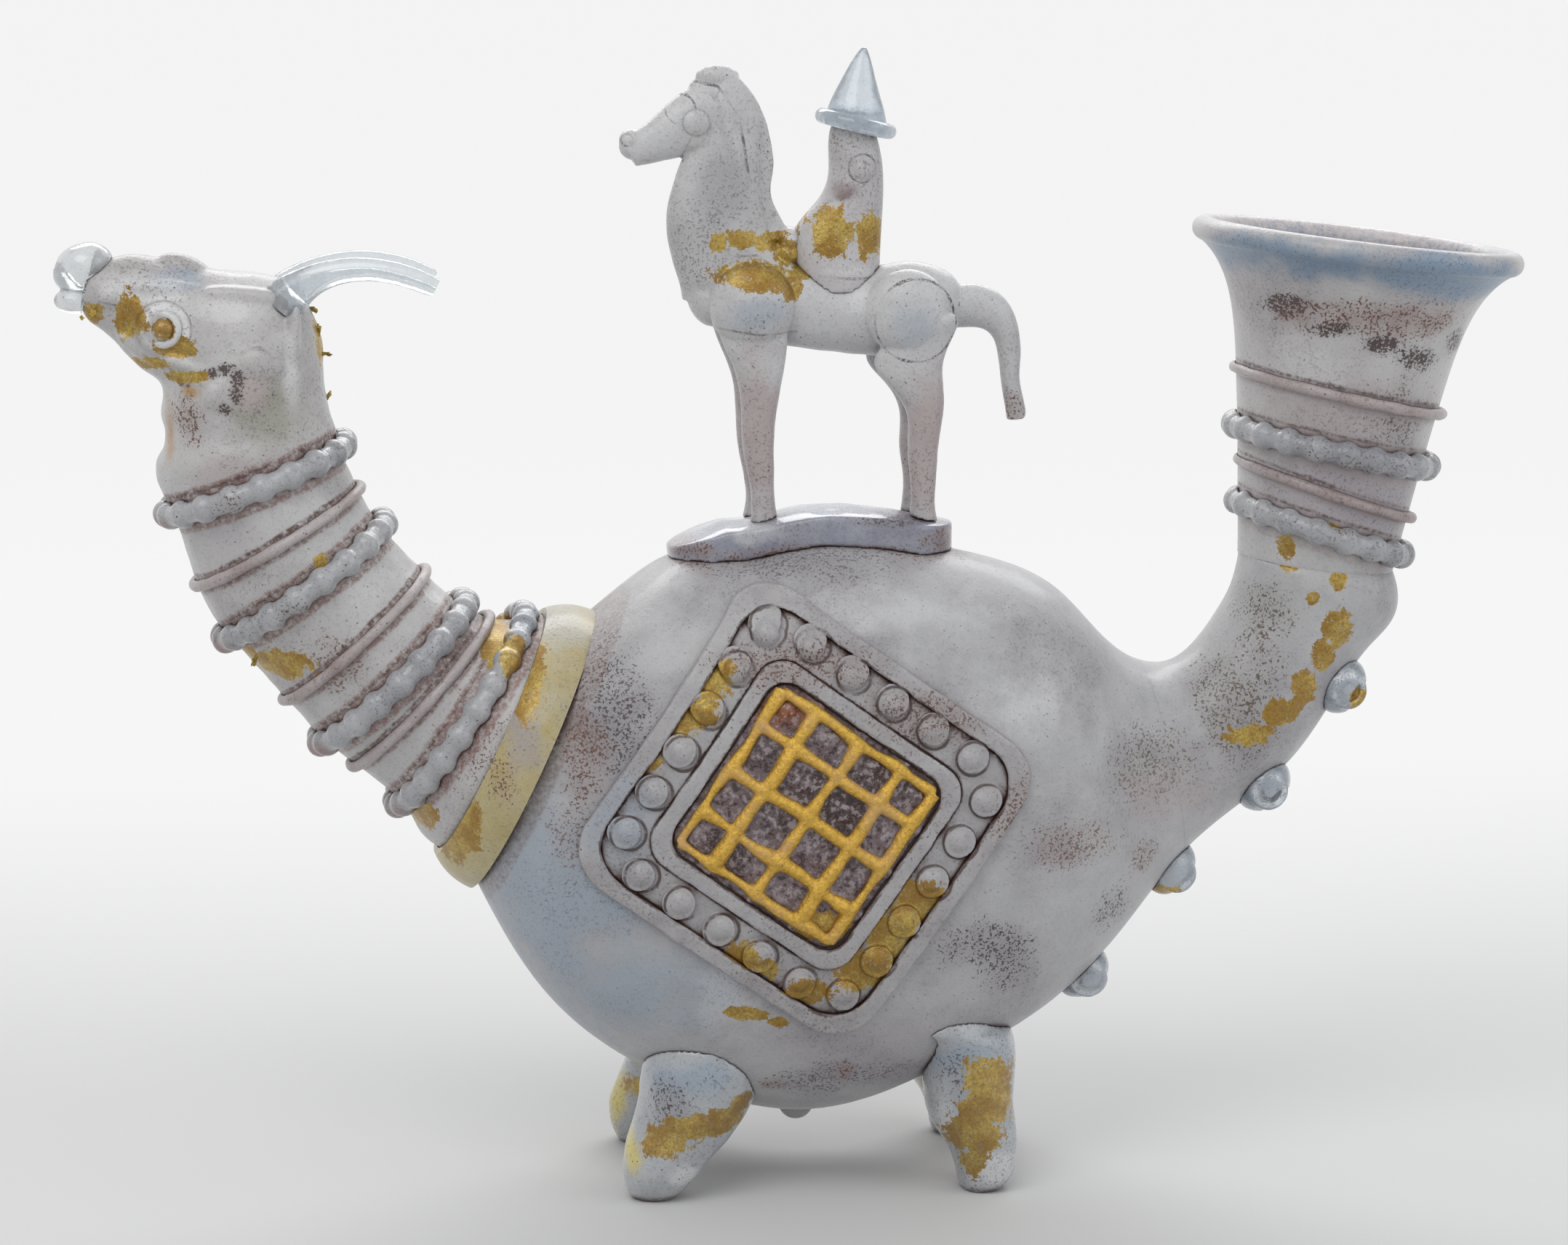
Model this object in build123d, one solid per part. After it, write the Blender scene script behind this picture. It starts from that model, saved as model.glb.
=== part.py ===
from build123d import *
import os
from math import cos, pi, radians, sin

# A hot-worked glass rhyton on four stub feet: a blown flask body whose tail is drawn up into a
# pouring funnel, a ringed neck that ends in a horned bull's head with the drinking spout in its
# mouth, a relief panel on the front, and a horse and rider standing on a plinth on its back.
# Millimetres. X runs from the head to the funnel, Z is up, and the front faces -Y.

# driving sizes of the blown vessel
body_length = 180.0
body_height = 161.0
body_depth = 98.0
belly_clearance = 18.0
glass_wall = 4.5
collar_seat_radius = 34.0
collar_seat_lean = 64.6
tail_reach = 43.8
tail_rise = 54.0
tail_radius = 21.5
funnel_foot_radius = 21.6
funnel_height = 87.0
funnel_mouth_radius = 45.4
funnel_lean = 6.6
lip_thickness = 4.6

# driving sizes of the ringed neck and its trails
neck_reach = 69.9
neck_rise = 85.8
neck_radius = 25.4
head_seat_radius = 22.8
head_seat_lean = 10.0
thread_radius = 1.5
bead_radius = 3.9
bead_pitch = 8.3
bead_cord_radius = 2.9
trail_overlap = 0.6
bead_phase_share = 0.25
collar_width = 12.5
collar_small_radius = 36.8
collar_large_radius = 41.6
collar_bulge = 1.4
collar_clearance = 0.25

# driving sizes of the bull's head
head_length = 46.0
head_height = 48.0
upper_lip_length = 17.0
upper_lip_height = 12.8
upper_lip_width = 16.4
upper_lip_lean = -27.0
lower_lip_length = 12.0
lower_lip_height = 7.4
lower_lip_width = 11.0
spout_radius = 1.9
spout_offset = 7.0
bull_horn_span = 46.0
bull_horn_arch = 48.0
bull_horn_root_radius = 6.3
bull_horn_spread = 14.0
eye_ring_radius = 3.9
eye_ring_thickness = 1.3
eye_pupil_radius = 2.6
forelock_length = 15.0
forelock_width = 9.0
forelock_thickness = 3.4

# driving sizes of the feet and the pontil nub
front_foot_offset = 36.8
front_foot_kick = 18.6
front_leg_height = 58.0
front_leg_radius = 17.0
rear_foot_offset = 127.7
rear_foot_kick = 6.3
rear_leg_height = 60.0
rear_leg_radius = 15.0
leg_depth_radius = 15.0
foot_stance = 28.0
nub_radius = 5.0

# driving sizes of the tail prunts
prunt_radius = 8.2
prunt_rise = 6.8
prunt_groove_radius = 4.2
prunt_groove_width = 1.1
prunt_offset = 9.0

# driving sizes of the relief panel
panel_side = 94.0
panel_turn = -35.0
panel_offset = 76.4
panel_rise = 91.5
panel_corner_radius = 13.0
panel_frame_width = 4.6
panel_frame_rise = 2.8
panel_bead_radius = 4.1
panel_bead_count = 22
bead_lane_width = 10.4
bead_lane_rise = 1.1
inner_frame_width = 4.4
inner_frame_rise = 2.3
inlay_rise = 1.0
trellis_width = 2.4
trellis_rise = 2.2
trellis_bars = 3
trellis_dot_radius = 2.2

# driving sizes of the plinth, the horse and the rider
plinth_length = 78.0
plinth_depth = 34.0
plinth_rise = 7.6
plinth_offset = 82.4
plinth_corner_radius = 14.0
horse_length = 68.0
horse_height = 122.0
horse_offset = 55.4
horse_base = 165.0
barrel_radius = 12.7
barrel_depth_radius = 9.4
horse_neck_radius = 15.2
horse_neck_depth_radius = 8.6
horse_head_radius = 9.5
horse_head_depth_radius = 5.2
horse_eye_radius = 3.6
mane_thickness = 4.8
mane_width = 9.0
leg_gather_radius = 9.6
leg_gather_depth_radius = 4.0
leg_stance = 8.5
leg_disc_radius = 11.6
leg_disc_thickness = 6.4
horse_tail_radius = 6.0
horse_tail_depth_radius = 4.6
rider_height = 40.0
rider_lean_reach = 6.0
rider_offset = 34.4
rider_seat_height = 67.0
rider_seat_radius = 12.0
rider_seat_depth_radius = 8.6
brim_radius = 9.2
brim_thickness = 2.1
hat_radius = 8.4
hat_depth_radius = 8.2
shoulder_knob_radius = 3.4
arm_reach = 12.0
arm_radius = 2.2

# how far a cutting solid runs past what it cuts
overrun = 12.0

# tables of shares, chosen by eye: along, up, half height, half depth, lean in degrees
BODY_SHARES = [
    (0.037, 0.633, 0.250, 0.375, 66.6),
    (0.147, 0.583, 0.390, 0.445, 74.6),
    (0.312, 0.514, 0.470, 0.490, 83.0),
    (0.437, 0.500, 0.500, 0.500, 87.7),
    (0.669, 0.5236, 0.4467, 0.475, 89.5),
    (0.834, 0.547, 0.3567, 0.405, 90.6),
    (0.920, 0.565, 0.2605, 0.325, 94.8),
    (1.000, 0.602, 0.172, 0.255, 102.6),
]
COLLAR_RISE_SHARE = 0.651
BODY_SQUARENESS = 2.5
TAIL_SHARES = [
    (0.255, 0.089, 1.065, 1.065, 111.5),
    (0.561, 0.290, 1.000, 1.000, 125.6),
    (0.752, 0.513, 0.953, 0.953, 140.0),
    (0.916, 0.729, 0.986, 0.986, 155.0),
]
# up funnel_height, out from the foot radius to the mouth radius
FLARE_SHARES = [
    (0.00, 0.000),
    (0.07, 0.030),
    (0.21, 0.100),
    (0.38, 0.185),
    (0.546, 0.280),
    (0.740, 0.416),
    (0.845, 0.550),
    (0.915, 0.710),
    (0.960, 0.890),
]
# every trail on the neck sits on one of these sections
NECK_SHARES = {
    "beads_4": (0.193, 0.103, 1.180, 55.0),
    "thread_3": (0.350, 0.166, 1.055, 46.5),
    "beads_3": (0.456, 0.228, 1.030, 43.0),
    "thread_2": (0.602, 0.350, 0.996, 41.5),
    "beads_2": (0.793, 0.528, 1.000, 35.0),
    "thread_1": (0.893, 0.671, 0.992, 30.0),
    "beads_1": (0.971, 0.853, 0.957, 21.0),
}
# up the funnel, and the tilt of each trail against it
FUNNEL_TRAIL_SHARES = {
    "beads_lower": (0.110, 11.5),
    "thread_lower": (0.235, 12.0),
    "beads_upper": (0.375, 5.5),
    "thread_upper": (0.550, 6.0),
}
SKULL_SHARES = [
    (0.000, 0.000, 1.000, 1.000, 10.0),
    (0.019, 0.227, 0.996, 0.956, 16.6),
    (0.045, 0.429, 1.018, 0.868, 28.5),
    (0.167, 0.583, 0.917, 0.746, 42.0),
    (0.363, 0.633, 0.737, 0.640, 53.0),
    (0.569, 0.713, 0.596, 0.491, 64.0),
    (0.765, 0.790, 0.456, 0.386, 73.0),
    (0.906, 0.842, 0.325, 0.298, 78.0),
]
UPPER_LIP_SHARES = (0.925, 0.932)
LOWER_LIP_SHARES = (0.965, 0.748)
EYE_SHARES = (0.460, 0.610)
FORELOCK_SHARES = (0.341, 0.925)
# with a last column: out from the middle plane
BULL_HORN_SHARES = [
    (0.203, 0.706, 1.000, 1.000, 140.0, 0.536),
    (0.322, 0.825, 0.794, 0.767, 128.0, 0.629),
    (0.518, 0.908, 0.571, 0.567, 102.0, 0.757),
    (0.735, 0.927, 0.500, 0.517, 88.0, 0.871),
    (0.931, 0.892, 0.476, 0.483, 75.0, 0.957),
    (1.105, 0.825, 0.397, 0.400, 62.0, 1.000),
]
FRONT_LEG_SHARES = [
    (0.000, 0.000, 0.329, 0.350, 0.0, 1.000),
    (0.022, 0.024, 0.424, 0.450, 0.0, 1.000),
    (0.108, 0.133, 0.635, 0.650, 0.0, 1.000),
    (0.382, 0.293, 0.824, 0.812, 0.0, 0.946),
    (0.651, 0.483, 0.941, 0.938, 0.0, 0.875),
    (0.769, 0.690, 0.971, 1.000, 0.0, 0.786),
    (1.000, 1.000, 1.000, 1.000, 0.0, 0.643),
]
REAR_LEG_SHARES = [
    (0.000, 0.000, 0.347, 0.386, 0.0, 1.000),
    (0.000, 0.020, 0.440, 0.486, 0.0, 1.000),
    (-0.063, 0.100, 0.553, 0.614, 0.0, 1.000),
    (0.127, 0.233, 0.667, 0.743, 0.0, 0.964),
    (0.571, 0.467, 0.840, 0.900, 0.0, 0.893),
    (0.857, 0.700, 0.947, 1.000, 0.0, 0.786),
    (1.000, 1.000, 1.000, 1.000, 0.0, 0.643),
]
BARREL_SHARES = [
    (-0.007, 0.516, 0.512, 0.532, 92.0),
    (0.044, 0.516, 0.882, 0.851, 92.0),
    (0.265, 0.492, 0.976, 0.979, 90.0),
    (0.471, 0.466, 0.866, 0.957, 90.0),
    (0.662, 0.464, 0.976, 1.000, 90.0),
    (0.824, 0.469, 1.000, 0.989, 90.0),
    (0.941, 0.477, 0.756, 0.766, 90.0),
    (1.000, 0.480, 0.362, 0.383, 90.0),
]
HORSE_NECK_SHARES = [
    (0.103, 0.492, 0.975, 1.000, 0.0),
    (0.066, 0.582, 1.000, 0.953, -2.0),
    (0.032, 0.672, 0.925, 0.860, -4.0),
    (0.041, 0.762, 0.787, 0.744, -4.0),
    (0.071, 0.852, 0.650, 0.628, -2.0),
    (0.076, 0.926, 0.475, 0.512, 4.0),
    (0.056, 0.984, 0.212, 0.279, 6.0),
]
HORSE_HEAD_SHARES = [
    (0.044, 0.898, 1.000, 1.000, 118.0),
    (-0.059, 0.887, 0.905, 0.962, 118.0),
    (-0.162, 0.857, 0.695, 0.846, 120.0),
    (-0.257, 0.831, 0.526, 0.731, 122.0),
    (-0.324, 0.818, 0.421, 0.654, 120.0),
]
MANE_SHARES = [
    (0.332, 0.627),
    (0.282, 0.672),
    (0.241, 0.730),
    (0.250, 0.795),
    (0.232, 0.861),
    (0.191, 0.926),
    (0.109, 0.984),
]
HORSE_EYE_SHARES = (-0.060, 0.885)
FORE_LEG_SHARES = [
    (0.154, 0.484, 0.990, 0.800, 0.0, 1.035),
    (0.165, 0.402, 0.917, 0.900, 0.0, 1.012),
    (0.181, 0.344, 0.719, 0.950, 0.0, 1.000),
    (0.184, 0.275, 0.542, 0.975, 0.0, 1.000),
    (0.178, 0.197, 0.469, 0.900, 0.0, 1.000),
    (0.187, 0.115, 0.385, 0.800, 0.0, 1.000),
    (0.197, 0.057, 0.333, 0.750, 0.0, 1.000),
    (0.203, 0.000, 0.438, 1.000, 0.0, 1.000),
    (0.203, -0.100, 0.438, 1.000, 0.0, 1.000),
]
HIND_LEG_SHARES = [
    (0.774, 0.467, 1.000, 0.800, 0.0, 1.035),
    (0.791, 0.377, 1.000, 0.900, 0.0, 1.012),
    (0.816, 0.299, 0.750, 0.975, 0.0, 1.000),
    (0.847, 0.242, 0.521, 0.950, 0.0, 1.000),
    (0.844, 0.189, 0.458, 0.875, 0.0, 1.000),
    (0.840, 0.115, 0.385, 0.800, 0.0, 1.000),
    (0.841, 0.049, 0.333, 0.750, 0.0, 1.000),
    (0.847, -0.008, 0.448, 1.000, 0.0, 1.000),
    (0.847, -0.100, 0.448, 1.000, 0.0, 1.000),
]
HORSE_TAIL_SHARES = [
    (0.926, 0.480, 0.933, 1.000, 90.0),
    (1.051, 0.474, 1.000, 1.000, 82.0),
    (1.150, 0.451, 0.817, 0.913, 55.0),
    (1.196, 0.402, 0.617, 0.761, 22.0),
    (1.206, 0.351, 0.500, 0.652, 4.0),
    (1.216, 0.287, 0.450, 0.587, 2.0),
    (1.232, 0.217, 0.383, 0.500, 5.0),
]
RIDER_SHARES = [
    (-0.067, -0.150, 0.933, 0.930, -4.0),
    (-0.033, 0.050, 1.000, 1.000, -6.0),
    (0.033, 0.260, 0.992, 0.953, -8.0),
    (0.650, 0.500, 0.725, 0.814, -4.0),
    (0.850, 0.700, 0.617, 0.721, 0.0),
    (0.750, 0.900, 0.567, 0.674, -6.0),
    (0.800, 1.012, 0.467, 0.605, -13.0),
]
HAT_SHARES = [
    (0.833, 0.990, 1.000, 1.000, -13.0),
    (0.917, 1.085, 0.952, 0.951, -13.0),
    (1.000, 1.275, 0.607, 0.610, -10.0),
    (1.167, 1.465, 0.226, 0.232, -8.0),
    (1.217, 1.515, 0.083, 0.085, -8.0),
]
BRIM_SHARES = (0.850, 1.010)
BRIM_LEAN = -13.7
KNOB_SHARES = (0.800, 0.645)
ARM_SHARES = [
    (0.000, 0.000, 1.000, 1.000, 80.0),
    (0.350, -0.070, 1.000, 1.000, 70.0),
    (0.700, -0.220, 0.950, 0.950, 55.0),
    (1.000, -0.450, 0.900, 0.900, 45.0),
]
# along and up the drawn-up tail, and the lean of the section that each prunt sits on
PRUNT_SHARES = {
    "tail_prunt_1": (1.284, 0.253, 135.0),
    "tail_prunt_2": (0.674, -0.169, 122.0),
    "tail_prunt_3": (0.069, -0.574, 132.0),
    "tail_prunt_4": (-0.465, -1.128, 135.0),
}


# helpers
def across(x, z, lean, y=0):
    """The plane that cuts a limb at right angles: its own X is the object's depth."""
    turn = radians(lean)
    return Plane(origin=(x, y, z), x_dir=(0, 1, 0), z_dir=(sin(turn), 0, -cos(turn)))


def skin(sections):
    """A smooth closed skin through ovals given as plane, half height, half depth, squareness.

    Every oval starts on the inner side of the bend, so that the skin cannot twist.
    """
    def run(sign):
        ends = [seat.origin + seat.y_dir * (sign * tall) for seat, tall, deep, square in sections]
        return sum((low - high).length for low, high in zip(ends, ends[1:]))

    first = pi / 2 if run(1) < run(-1) else -pi / 2
    steps = 16
    ovals = []
    for seat, tall, deep, square in sections:
        points = []
        for step in range(steps):
            angle = first + 2 * pi * step / steps
            c, s = cos(angle), sin(angle)
            points.append(Vector(
                deep * abs(c) ** (2 / square) * (1 if c >= 0 else -1),
                tall * abs(s) ** (2 / square) * (1 if s >= 0 else -1)))
        ovals.append(seat * make_face(Edge.make_spline(points, periodic=True)))
    return one(loft(ovals))


def limb(shares, x, z, reach, rise, girth, depth, spread=0):
    """A smooth limb through ovals: each row gives place, half height, half depth and lean."""
    sections = []
    for row in shares:
        along, up, tall, deep, lean = row[:5]
        out = row[5] * spread if len(row) > 5 else 0
        seat = across(x + along * reach, z + up * rise, lean, out)
        sections.append((seat, tall * girth, deep * depth, 2))
    return skin(sections)


def one(shape):
    """The largest solid of a result, as a plain solid."""
    return max(shape.solids(), key=lambda solid: solid.volume)


def hollow(outer, inner):
    """The wall between two lofts whose flat ends lie in the same planes."""
    caps = []
    for cap in outer.faces().filter_by(GeomType.PLANE):
        bore = min(inner.faces().filter_by(GeomType.PLANE),
                   key=lambda face: (face.center() - cap.center()).length)
        caps.append(Face(cap.outer_wire(), [bore.outer_wire()]))
    skins = outer.faces().filter_by(GeomType.PLANE, reverse=True)
    skins += inner.faces().filter_by(GeomType.PLANE, reverse=True)
    return Solid(Shell(list(skins) + caps))


def skin_point(host, start, direction):
    """The last point where a line from the start leaves the host, and the normal there."""
    heading = Vector(*direction).normalized()
    hits = host.find_intersection_points(Axis(start, direction))
    return max(hits, key=lambda hit: (hit[0] - Vector(*start)).dot(heading))


def egg(long_radius, deep_radius, tall_radius):
    """A closed ellipsoid on the three axes."""
    half = Ellipse(long_radius, tall_radius) & Pos(0, tall_radius / 2) * Rectangle(
        2 * long_radius, tall_radius)
    return scale(revolve(half, Axis.X), by=(1, deep_radius / tall_radius, 1))


# the blown vessel
left_end = -body_length / 2 + body_length * 0.081
collar_z = belly_clearance + COLLAR_RISE_SHARE * body_height
tail_x = left_end + body_length * BODY_SHARES[-1][0]
tail_z = belly_clearance + body_height * BODY_SHARES[-1][1]
funnel_x = tail_x + tail_reach
funnel_z = tail_z + tail_rise


def vessel_loft(grow):
    """The flask body and its drawn-up tail in one skin, grown outwards by the given amount."""
    sections = [(across(left_end, collar_z, collar_seat_lean),
                 collar_seat_radius + grow, collar_seat_radius + grow, 2)]
    for along, up, tall, deep, lean in BODY_SHARES:
        seat = across(left_end + along * body_length, belly_clearance + up * body_height, lean)
        sections.append((seat, tall * body_height + grow, deep * body_depth + grow,
                         BODY_SQUARENESS))
    for along, up, tall, deep, lean in TAIL_SHARES:
        seat = across(tail_x + along * tail_reach, tail_z + up * tail_rise, lean)
        sections.append((seat, tall * tail_radius + grow, deep * tail_radius + grow, 2))
    sections.append((across(funnel_x, funnel_z, 180 - funnel_lean),
                     funnel_foot_radius + grow, funnel_foot_radius + grow, 2))
    return skin(sections)


body_outer = vessel_loft(0)

funnel_seat = Plane(
    origin=(funnel_x, 0, funnel_z), x_dir=(0, 1, 0),
    z_dir=(sin(radians(funnel_lean)), 0, cos(radians(funnel_lean))))


def flare_radius(share):
    """The funnel's outer radius at a share of its height."""
    for (low, out_low), (high, out_high) in zip(FLARE_SHARES, FLARE_SHARES[1:]):
        if share <= high:
            out = out_low + (share - low) / (high - low) * (out_high - out_low)
            return funnel_foot_radius + out * (funnel_mouth_radius - funnel_foot_radius)
    return funnel_mouth_radius


def funnel_profile(wall):
    """Half of the funnel's section: solid to its axis when no wall is given."""
    rise = funnel_height - lip_thickness / 2
    outer = [(flare_radius(share), share / FLARE_SHARES[-1][0] * rise)
             for share, _ in FLARE_SHARES]
    flare = Spline([Vector(r, 0, t) for r, t in outer])
    top = outer[-1]
    if wall == 0:
        return make_face([flare, Line((top[0], 0, top[1]), (0, 0, top[1])),
                          Line((0, 0, top[1]), (0, 0, 0)), Line((0, 0, 0), (outer[0][0], 0, 0))])
    inner = [(r - wall, t) for r, t in outer[:-1]]
    inner.append((top[0] - lip_thickness * 0.8, top[1] + lip_thickness * 0.55))
    throat = Spline([Vector(r, 0, t) for r, t in inner])
    lip = ThreePointArc(
        (top[0], 0, top[1]),
        (funnel_mouth_radius, 0, top[1] + lip_thickness * 0.45),
        (inner[-1][0], 0, inner[-1][1]))
    foot = Line((inner[0][0], 0, 0), (outer[0][0], 0, 0))
    return make_face([flare, lip, throat, foot])


funnel_core = one(funnel_seat * revolve(funnel_profile(0), Axis.Z))


# the neck and its trails
def neck_station(name):
    along, up, wide, lean = NECK_SHARES[name]
    return left_end - along * neck_reach, collar_z + up * neck_rise, lean, wide * neck_radius


head_seat_x = left_end - neck_reach
head_seat_z = collar_z + neck_rise


def neck_loft(grow):
    """The neck's skin from the collar seat to the head seat, grown outwards."""
    rings = [across(left_end, collar_z, collar_seat_lean) * Circle(collar_seat_radius + grow)]
    for name in NECK_SHARES:
        x, z, lean, radius = neck_station(name)
        rings.append(across(x, z, lean) * Circle(radius + grow))
    rings.append(across(head_seat_x, head_seat_z, head_seat_lean) * Circle(
        head_seat_radius + grow))
    return one(loft(rings))


neck_outer = neck_loft(0)


def trail(kind, seat, radius, host):
    """A trail wound round its host and flattened onto it: a plain thread or a row of beads."""
    if kind == "thread":
        return one(seat * Rot(Z=90) * Torus(
            radius + thread_radius - trail_overlap, thread_radius) - host)
    pitch_radius = radius + bead_radius / 3
    count = round(2 * pi * pitch_radius / bead_pitch)
    cord = Rot(Z=90) * Torus(pitch_radius, bead_cord_radius)
    places = PolarLocations(pitch_radius, count, start_angle=bead_phase_share * 360 / count)
    return one(seat * cord.fuse(*[place * Sphere(bead_radius) for place in places]) - host)


def neck_trail(name):
    x, z, lean, radius = neck_station(name)
    return trail(name.split("_")[0], across(x, z, lean), radius, neck_outer)


def funnel_trail(name):
    share, tilt = FUNNEL_TRAIL_SHARES[name]
    seat = funnel_seat * Pos(0, 0, share * funnel_height) * Rot(X=tilt)
    return trail(name.split("_")[0], seat, flare_radius(share), funnel_core) - body_outer


def make_collar():
    """The thick gilt band that hides the seam between neck and body."""
    low, high = -collar_width / 2, collar_width / 2
    inner = collar_seat_radius - collar_width
    mean_radius = (collar_small_radius + collar_large_radius) / 2
    section = make_face([
        ThreePointArc((collar_small_radius, 0, low), (mean_radius + collar_bulge, 0, 0),
                      (collar_large_radius, 0, high)),
        Line((collar_large_radius, 0, high), (inner, 0, high)),
        Line((inner, 0, high), (inner, 0, low)),
        Line((inner, 0, low), (collar_small_radius, 0, low))])
    seat = across(left_end, collar_z, collar_seat_lean)
    band = seat * Rot(Z=45) * revolve(section, Axis.Z)
    return one(band - neck_loft(collar_clearance) - body_outer)


# the bull's head
def head_place(shares):
    return head_seat_x - shares[0] * head_length, head_seat_z + shares[1] * head_height


skull_solid = limb(SKULL_SHARES, head_seat_x, head_seat_z, -head_length, head_height,
                   head_seat_radius, head_seat_radius)
upper_lip_x, upper_lip_z = head_place(UPPER_LIP_SHARES)
lower_lip_x, lower_lip_z = head_place(LOWER_LIP_SHARES)
eye_x, eye_z = head_place(EYE_SHARES)


def spout_bore():
    """The pouring channel, from the neck's hollow up to the gap between the lips."""
    start = Vector(head_seat_x + spout_offset, 0, head_seat_z - glass_wall)
    end = Vector(lower_lip_x, 0, (lower_lip_z + upper_lip_z) / 2)
    end += (end - start).normalized() * overrun
    path = Plane(origin=start, z_dir=end - start)
    return path * extrude(Circle(spout_radius), (end - start).length)


def make_eye(side):
    """A ring of glass round a clear pupil, pressed onto the cheek."""
    point, normal = skin_point(skull_solid, (eye_x, 0, eye_z), (0, side, 0))
    seat = Plane(origin=point, z_dir=normal)
    ring = Torus(eye_ring_radius, eye_ring_thickness)
    pupil = Sphere(eye_pupil_radius + eye_ring_thickness / 2)
    return one(seat * (ring + pupil) - skull_solid)


def make_bull_horn(side):
    """One horn: thick at the root, swept back and slightly drooped, with a blunt tip."""
    return limb(BULL_HORN_SHARES, head_seat_x, head_seat_z, bull_horn_span, bull_horn_arch,
                bull_horn_root_radius, bull_horn_root_radius, side * bull_horn_spread)


# prunts, feet and the pontil nub
def make_prunt(name):
    """A dab of glass with a ring groove, on the front of the drawn-up tail's outer edge."""
    along, up, lean = PRUNT_SHARES[name]
    out = Vector(-cos(radians(lean)), 0, -sin(radians(lean)))
    start = Vector(tail_x + along * tail_reach, -prunt_offset,
                   tail_z + up * tail_rise) - out * overrun
    point, normal = skin_point(body_outer, tuple(start), tuple(out))
    dab = egg(prunt_radius, prunt_radius, prunt_rise)
    groove_rise = prunt_rise * (1 - (prunt_groove_radius / prunt_radius) ** 2) ** 0.5
    groove = Pos(0, 0, groove_rise) * Torus(prunt_groove_radius, prunt_groove_width)
    return one(Plane(origin=point, z_dir=normal) * (dab - groove) - body_outer)


def make_leg(shares, offset, kick, height, radius, side):
    """A stub leg with a rounded toe, flat where it stands."""
    leg = limb(shares, left_end + offset, 0, kick, height, radius, leg_depth_radius,
               side * foot_stance)
    return one(leg - body_outer)


def make_nub():
    """The broken-off pontil mark under the belly."""
    centre = BODY_SHARES[3][0] * body_length + left_end
    return one(Pos(centre, 0, belly_clearance) * Sphere(nub_radius) - body_outer)


# the relief panel
panel_seat = Plane(
    origin=(left_end + panel_offset, 0, belly_clearance + panel_rise),
    x_dir=(cos(radians(panel_turn)), 0, sin(radians(panel_turn))), z_dir=(0, -1, 0))


def panel_outline(inset):
    side = panel_side - 2 * inset
    return RectangleRounded(side, side, panel_corner_radius - inset / 3)


def relief(outline, rise):
    """A flat outline pressed onto the curved front as a layer of the given rise."""
    block = panel_seat * extrude(outline, body_depth)
    return block & vessel_loft(rise)


lane_inset = panel_frame_width
inner_inset = lane_inset + bead_lane_width
inlay_inset = inner_inset + inner_frame_width


def make_panel_frame():
    return one(relief(panel_outline(0) - panel_outline(lane_inset), panel_frame_rise)
               - body_outer)


def make_bead_lane():
    """The lane between both frames, with its row of large round beads."""
    lane = relief(panel_outline(lane_inset) - panel_outline(inner_inset), bead_lane_rise)
    path = panel_outline(lane_inset + bead_lane_width / 2).wire()
    beads = []
    for step in range(panel_bead_count):
        spot = panel_seat.from_local_coords(path.position_at((step + 0.5) / panel_bead_count))
        point, normal = skin_point(body_outer, tuple(spot), (0, -1, 0))
        beads.append(Pos(*point) * Sphere(panel_bead_radius))
    return one(lane.fuse(*beads) - body_outer)


def make_inner_frame():
    return one(relief(panel_outline(inner_inset) - panel_outline(inlay_inset),
                      inner_frame_rise) - body_outer)


def make_inlay():
    """The inner field with a plain trellis of threads and a dot in each opening."""
    side = panel_side - 2 * inlay_inset
    pitch = side / (trellis_bars + 1)
    field = panel_outline(inlay_inset)
    bars = Sketch()
    dots = Sketch()
    for step in range(trellis_bars):
        across_field = -side / 2 + (step + 1) * pitch
        bars += Pos(across_field, 0) * Rectangle(trellis_width, side)
        bars += Pos(0, across_field) * Rectangle(side, trellis_width)
    dots += GridLocations(pitch, pitch, trellis_bars + 1, trellis_bars + 1) * Circle(
        trellis_dot_radius)
    raised = (bars + dots) & field
    layers = relief(field, inlay_rise) + relief(raised, trellis_rise)
    return one(layers - body_outer)


# the plinth
plinth_seat = Pos(left_end + plinth_offset, 0, belly_clearance + body_height / 2)


def make_plinth():
    """The slab the horse stands on, moulded to the top of the body."""
    slab = extrude(RectangleRounded(plinth_length, plinth_depth, plinth_corner_radius),
                   body_height)
    return one((plinth_seat * slab & vessel_loft(plinth_rise)) - body_outer)


# the horse
horse_x = left_end + horse_offset


def horse_limb(shares, girth, depth, spread=0):
    return limb(shares, horse_x, horse_base + belly_clearance, horse_length, horse_height,
                girth, depth, spread)


def horse_place(shares):
    return (horse_x + shares[0] * horse_length,
            horse_base + belly_clearance + shares[1] * horse_height)


def make_mane():
    """The crest that runs down the back of the neck."""
    outer = [Vector(*horse_place(share)) for share in MANE_SHARES]
    inner = [point - Vector(mane_width, 0) for point in outer]
    crest = make_face([Spline(outer), Line(outer[-1], inner[-1]),
                       Spline(inner), Line(inner[0], outer[0])])
    return Plane.XZ * extrude(crest, mane_thickness / 2, both=True)


def make_leg_with_disc(shares, side, hosts):
    """A horse's leg with the flat disc of glass that joins it to the barrel."""
    limb_part = horse_limb(shares, leg_gather_radius, leg_gather_depth_radius,
                           side * leg_stance)
    x, z = horse_place(shares[0])
    disc = Pos(x, side * leg_stance, z) * egg(leg_disc_radius, leg_disc_thickness,
                                              leg_disc_radius)
    leg = limb_part + disc
    for host in hosts:
        leg -= host
    return one(leg)


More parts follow.
